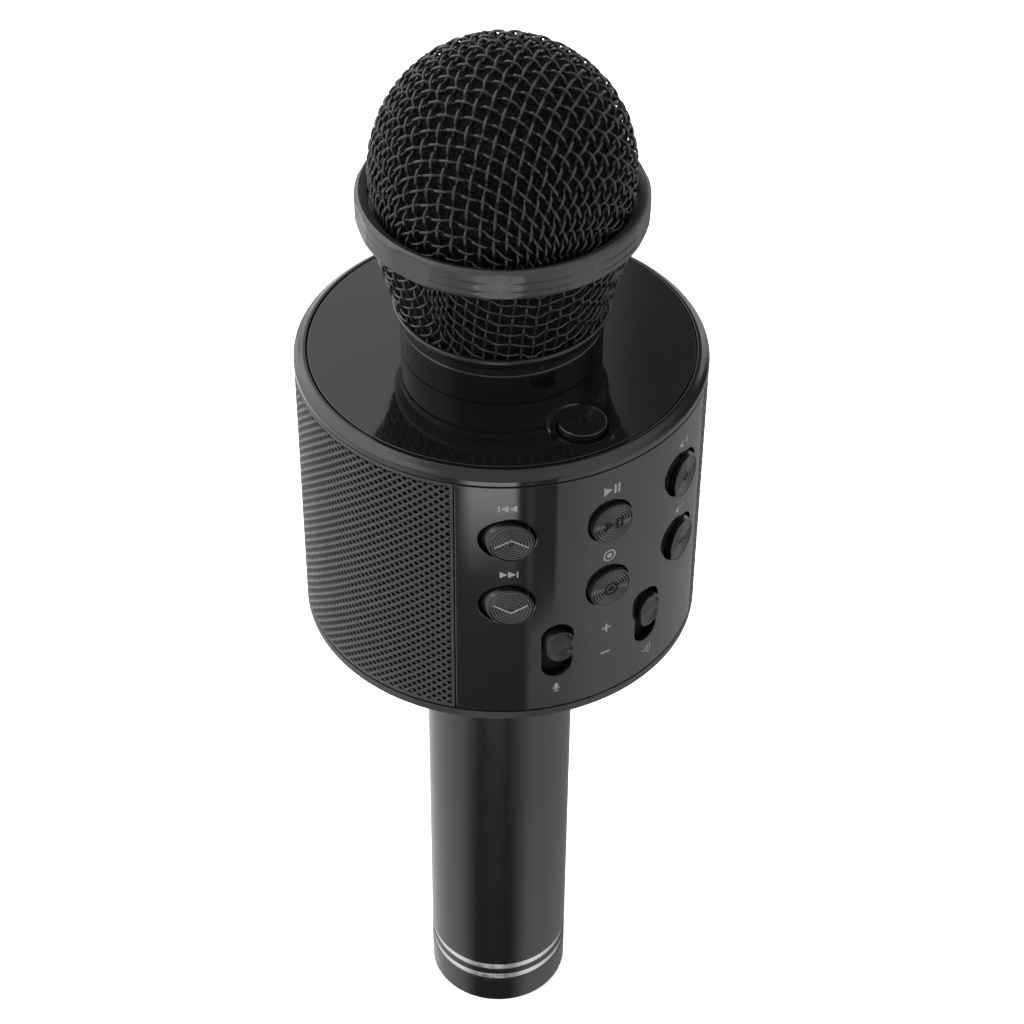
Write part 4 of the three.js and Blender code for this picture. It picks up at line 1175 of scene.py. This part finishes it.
def make_ring():
    """The collar, a narrow band that flares under the lower mesh, and the ring. The ring has two grooves
    and is cut by ten flats, so that the grooves show only between them."""
    collar = rounded([
        (16.9, NECK_TOP + 0.06), (18.1, NECK_TOP + 0.06, 0.15), (18.15, 175.3, 0.4), (18.9, 176.5, 0.5),
        (19.3, 177.3, 0.3), (19.25, 177.85, 0.25), (18.9, 178, 0.1), (16.9, 178),
    ])
    piece("head_collar_smooth", turned(collar, 220), "head", "key", ["head_collar"], "head_metal")

    wall_low = RING_LOW + 0.45
    zs = np.linspace(wall_low, RING_WALL_TOP, 96)
    radius = np.interp(zs, [195.35, 196.0, 199.1, RING_WALL_TOP], [25.0, 25.2, 25.25, 25.2])
    for groove in RING_GROOVES:
        radius = radius - 0.24 * np.exp(-((zs - groove) / 0.17) ** 2)
    lip = rounded([
        (RING_BORE, RING_LOW, 0.2), (24.55, RING_LOW, 0.25), (25.0, wall_low, 0.2), (25.2, RING_WALL_TOP, 0.2),
        (24.85, 200.35, 0.3), (24.5, RING_TOP, 0.15), (RING_BORE + 0.02, 199.9, 0.1),
    ])
    split = int(np.argmax((lip[:, 1] > wall_low - 0.01) & (lip[:, 1] < 199)))
    after = int(np.argmax(lip[:, 1] > 199.5))
    outline = np.concatenate([lip[:split], np.stack([radius, zs], 1), lip[after:]])

    def flats(r, a, z):
        slice_ = TURN / RING_FLATS
        off = (a - CORNER_AZIMUTH) % slice_ - slice_ / 2
        depths = (np.exp(-np.clip(d - 25, -2, 2) / FLAT_BLEND) for d in (r, FLAT_DISTANCE / np.cos(off)))
        return np.where(r > 24.2, 25 - FLAT_BLEND * np.log(sum(depths)), r), a, z
    seat = rounded([(21.75, 195.5, 0.2), (RING_BORE + 0.3, 195.5), (RING_BORE + 0.3, 198.3),
                    (21.75, 198.3, 0.3)])
    ring = together(turned(outline, 720, flats), turned(seat))
    piece("head_ring_smooth", ring, "head", "ring", ["head_ring"], "head_metal", sharp=50)


def make_meshes():
    middle = DOME_RADIUS - WIRE_RADIUS - DOME_CRIMP - 0.06
    angles = np.radians(np.linspace(0, 135, 271))
    profile = np.stack([middle * np.sin(angles), DOME_Z + middle * np.cos(angles)], 1)
    net = cloth_net(profile, DOME_PITCH, DOME_PITCH, 22)
    dome = woven(net, CLOTH_AZIMUTH, dome_normal, WIRE_RADIUS, DOME_CRIMP, lambda p: p[:, 2] > DOME_FOOT)
    plain = {"slot": "mesh_wire", "sharp": None, "weigh": False, "merge": False}
    piece("dome_wires", dome, "head", "wire", ["head_dome_mesh"], **plain)

    # lower mesh, drawn from the same cloth as a bowl whose floor is cut out
    side = cone_curve(np.linspace(-0.25, 1.25, 70)) - np.array([0.5, 0])
    edge, foot = side[0][0], side[0][1] - 1.2
    floor = np.stack([np.linspace(0, edge - 1.2, 20), np.full(20, foot)], 1)
    bend = rounded([(edge - 3, foot), (edge, foot, 1.0), tuple(side[2])], 6)[1:-1]
    net = cloth_net(np.concatenate([floor, bend, side]), *CONE_PITCHES, 26)
    cone = woven(net, CONE_AZIMUTH, cone_normal, CONE_WIRE_RADIUS, CONE_CRIMP,
                 lambda p: (p[:, 2] > CONE_ENDS[0]) & (p[:, 2] < CONE_ENDS[1]))
    piece("cone_wires", cone, "head", "wire", ["head_cone_mesh"], **plain)


def make_foam():
    """A bowl behind both meshes."""
    def arc(radius, start, stop, count):
        a = np.radians(np.linspace(start, stop, count))
        return np.stack([radius * np.cos(a), DOME_Z + radius * np.sin(a)], 1)
    cone_part = cone_curve(np.linspace(0.02, 0.97, 26)) - np.array([FOAM_DEPTH, 0])
    dome_part = arc(DOME_RADIUS - FOAM_DEPTH, -14, 90, 42)
    outline = np.concatenate([
        [[cone_part[0][0] - 0.1, FOAM_FOOT]], cone_part, [[21.6, 195.3], [21.6, 198.4]],
        dome_part[dome_part[:, 1] > DOME_FOOT], arc(FOAM_INNER, 90, -20, 30),
        [[16.2, 194], [16.2, 186], [17.0, 185], [17.0, FOAM_FOOT]],
    ])

    def lumpy(r, a, z):
        points = np.stack([*polar(r, a), z], -1).reshape(-1, 3)
        bumps = np.array([noise(Vector(p) * 0.45) for p in points]).reshape(r.shape)
        return np.maximum(r - np.where(r > 0.01, 0.22 * np.abs(bumps), 0), 0), a, z
    foam = piece("foam_bowl", turned(outline, 140, lumpy), "head", "foam", ["foam_liner"], "foam", sharp=60)


# ---------------------------------------------------------------- what stays as its CAD solid
KEPT = {
    "board": ("port_board", "control_board", "power_board", "main_board"),
    "steel": ("usb_socket", "card_socket", "neck_nut", "radio_module", "mic_volume_pot", "remix_pot",
              "left_speaker_basket", "right_speaker_basket"),
    "inner": ("speaker_housing", "aux_jack", "power_switch", *(f"{name}_switch" for name in BUTTONS)),
    "cell": ("battery_cell",),
    "magnet": ("left_speaker_magnet", "right_speaker_magnet"),
    "paper": ("left_speaker_cone", "right_speaker_cone"),
    "light": ("charge_led",),
    "lead": ("battery_loom", "mic_lead"),
}


def finish_kept_solids():
    for material, nodes in KEPT.items():
        for name in nodes:
            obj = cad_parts[name]
            obj.data.materials.clear()
            obj.data.materials.append(MATERIALS[material])
            edge = obj.modifiers.new("edges", "BEVEL")
            edge.width, edge.segments, edge.angle_limit = 0.12 * MM, 2, radians(40)
            edge.limit_method = "ANGLE"


make_camera()
make_stage()
MATERIALS = make_materials()
make_handle()
make_panel()
make_top()
make_cover()
make_grille()
make_buttons()
make_knobs()
make_neck()
make_ring()
make_meshes()
make_foam()
finish_kept_solids()
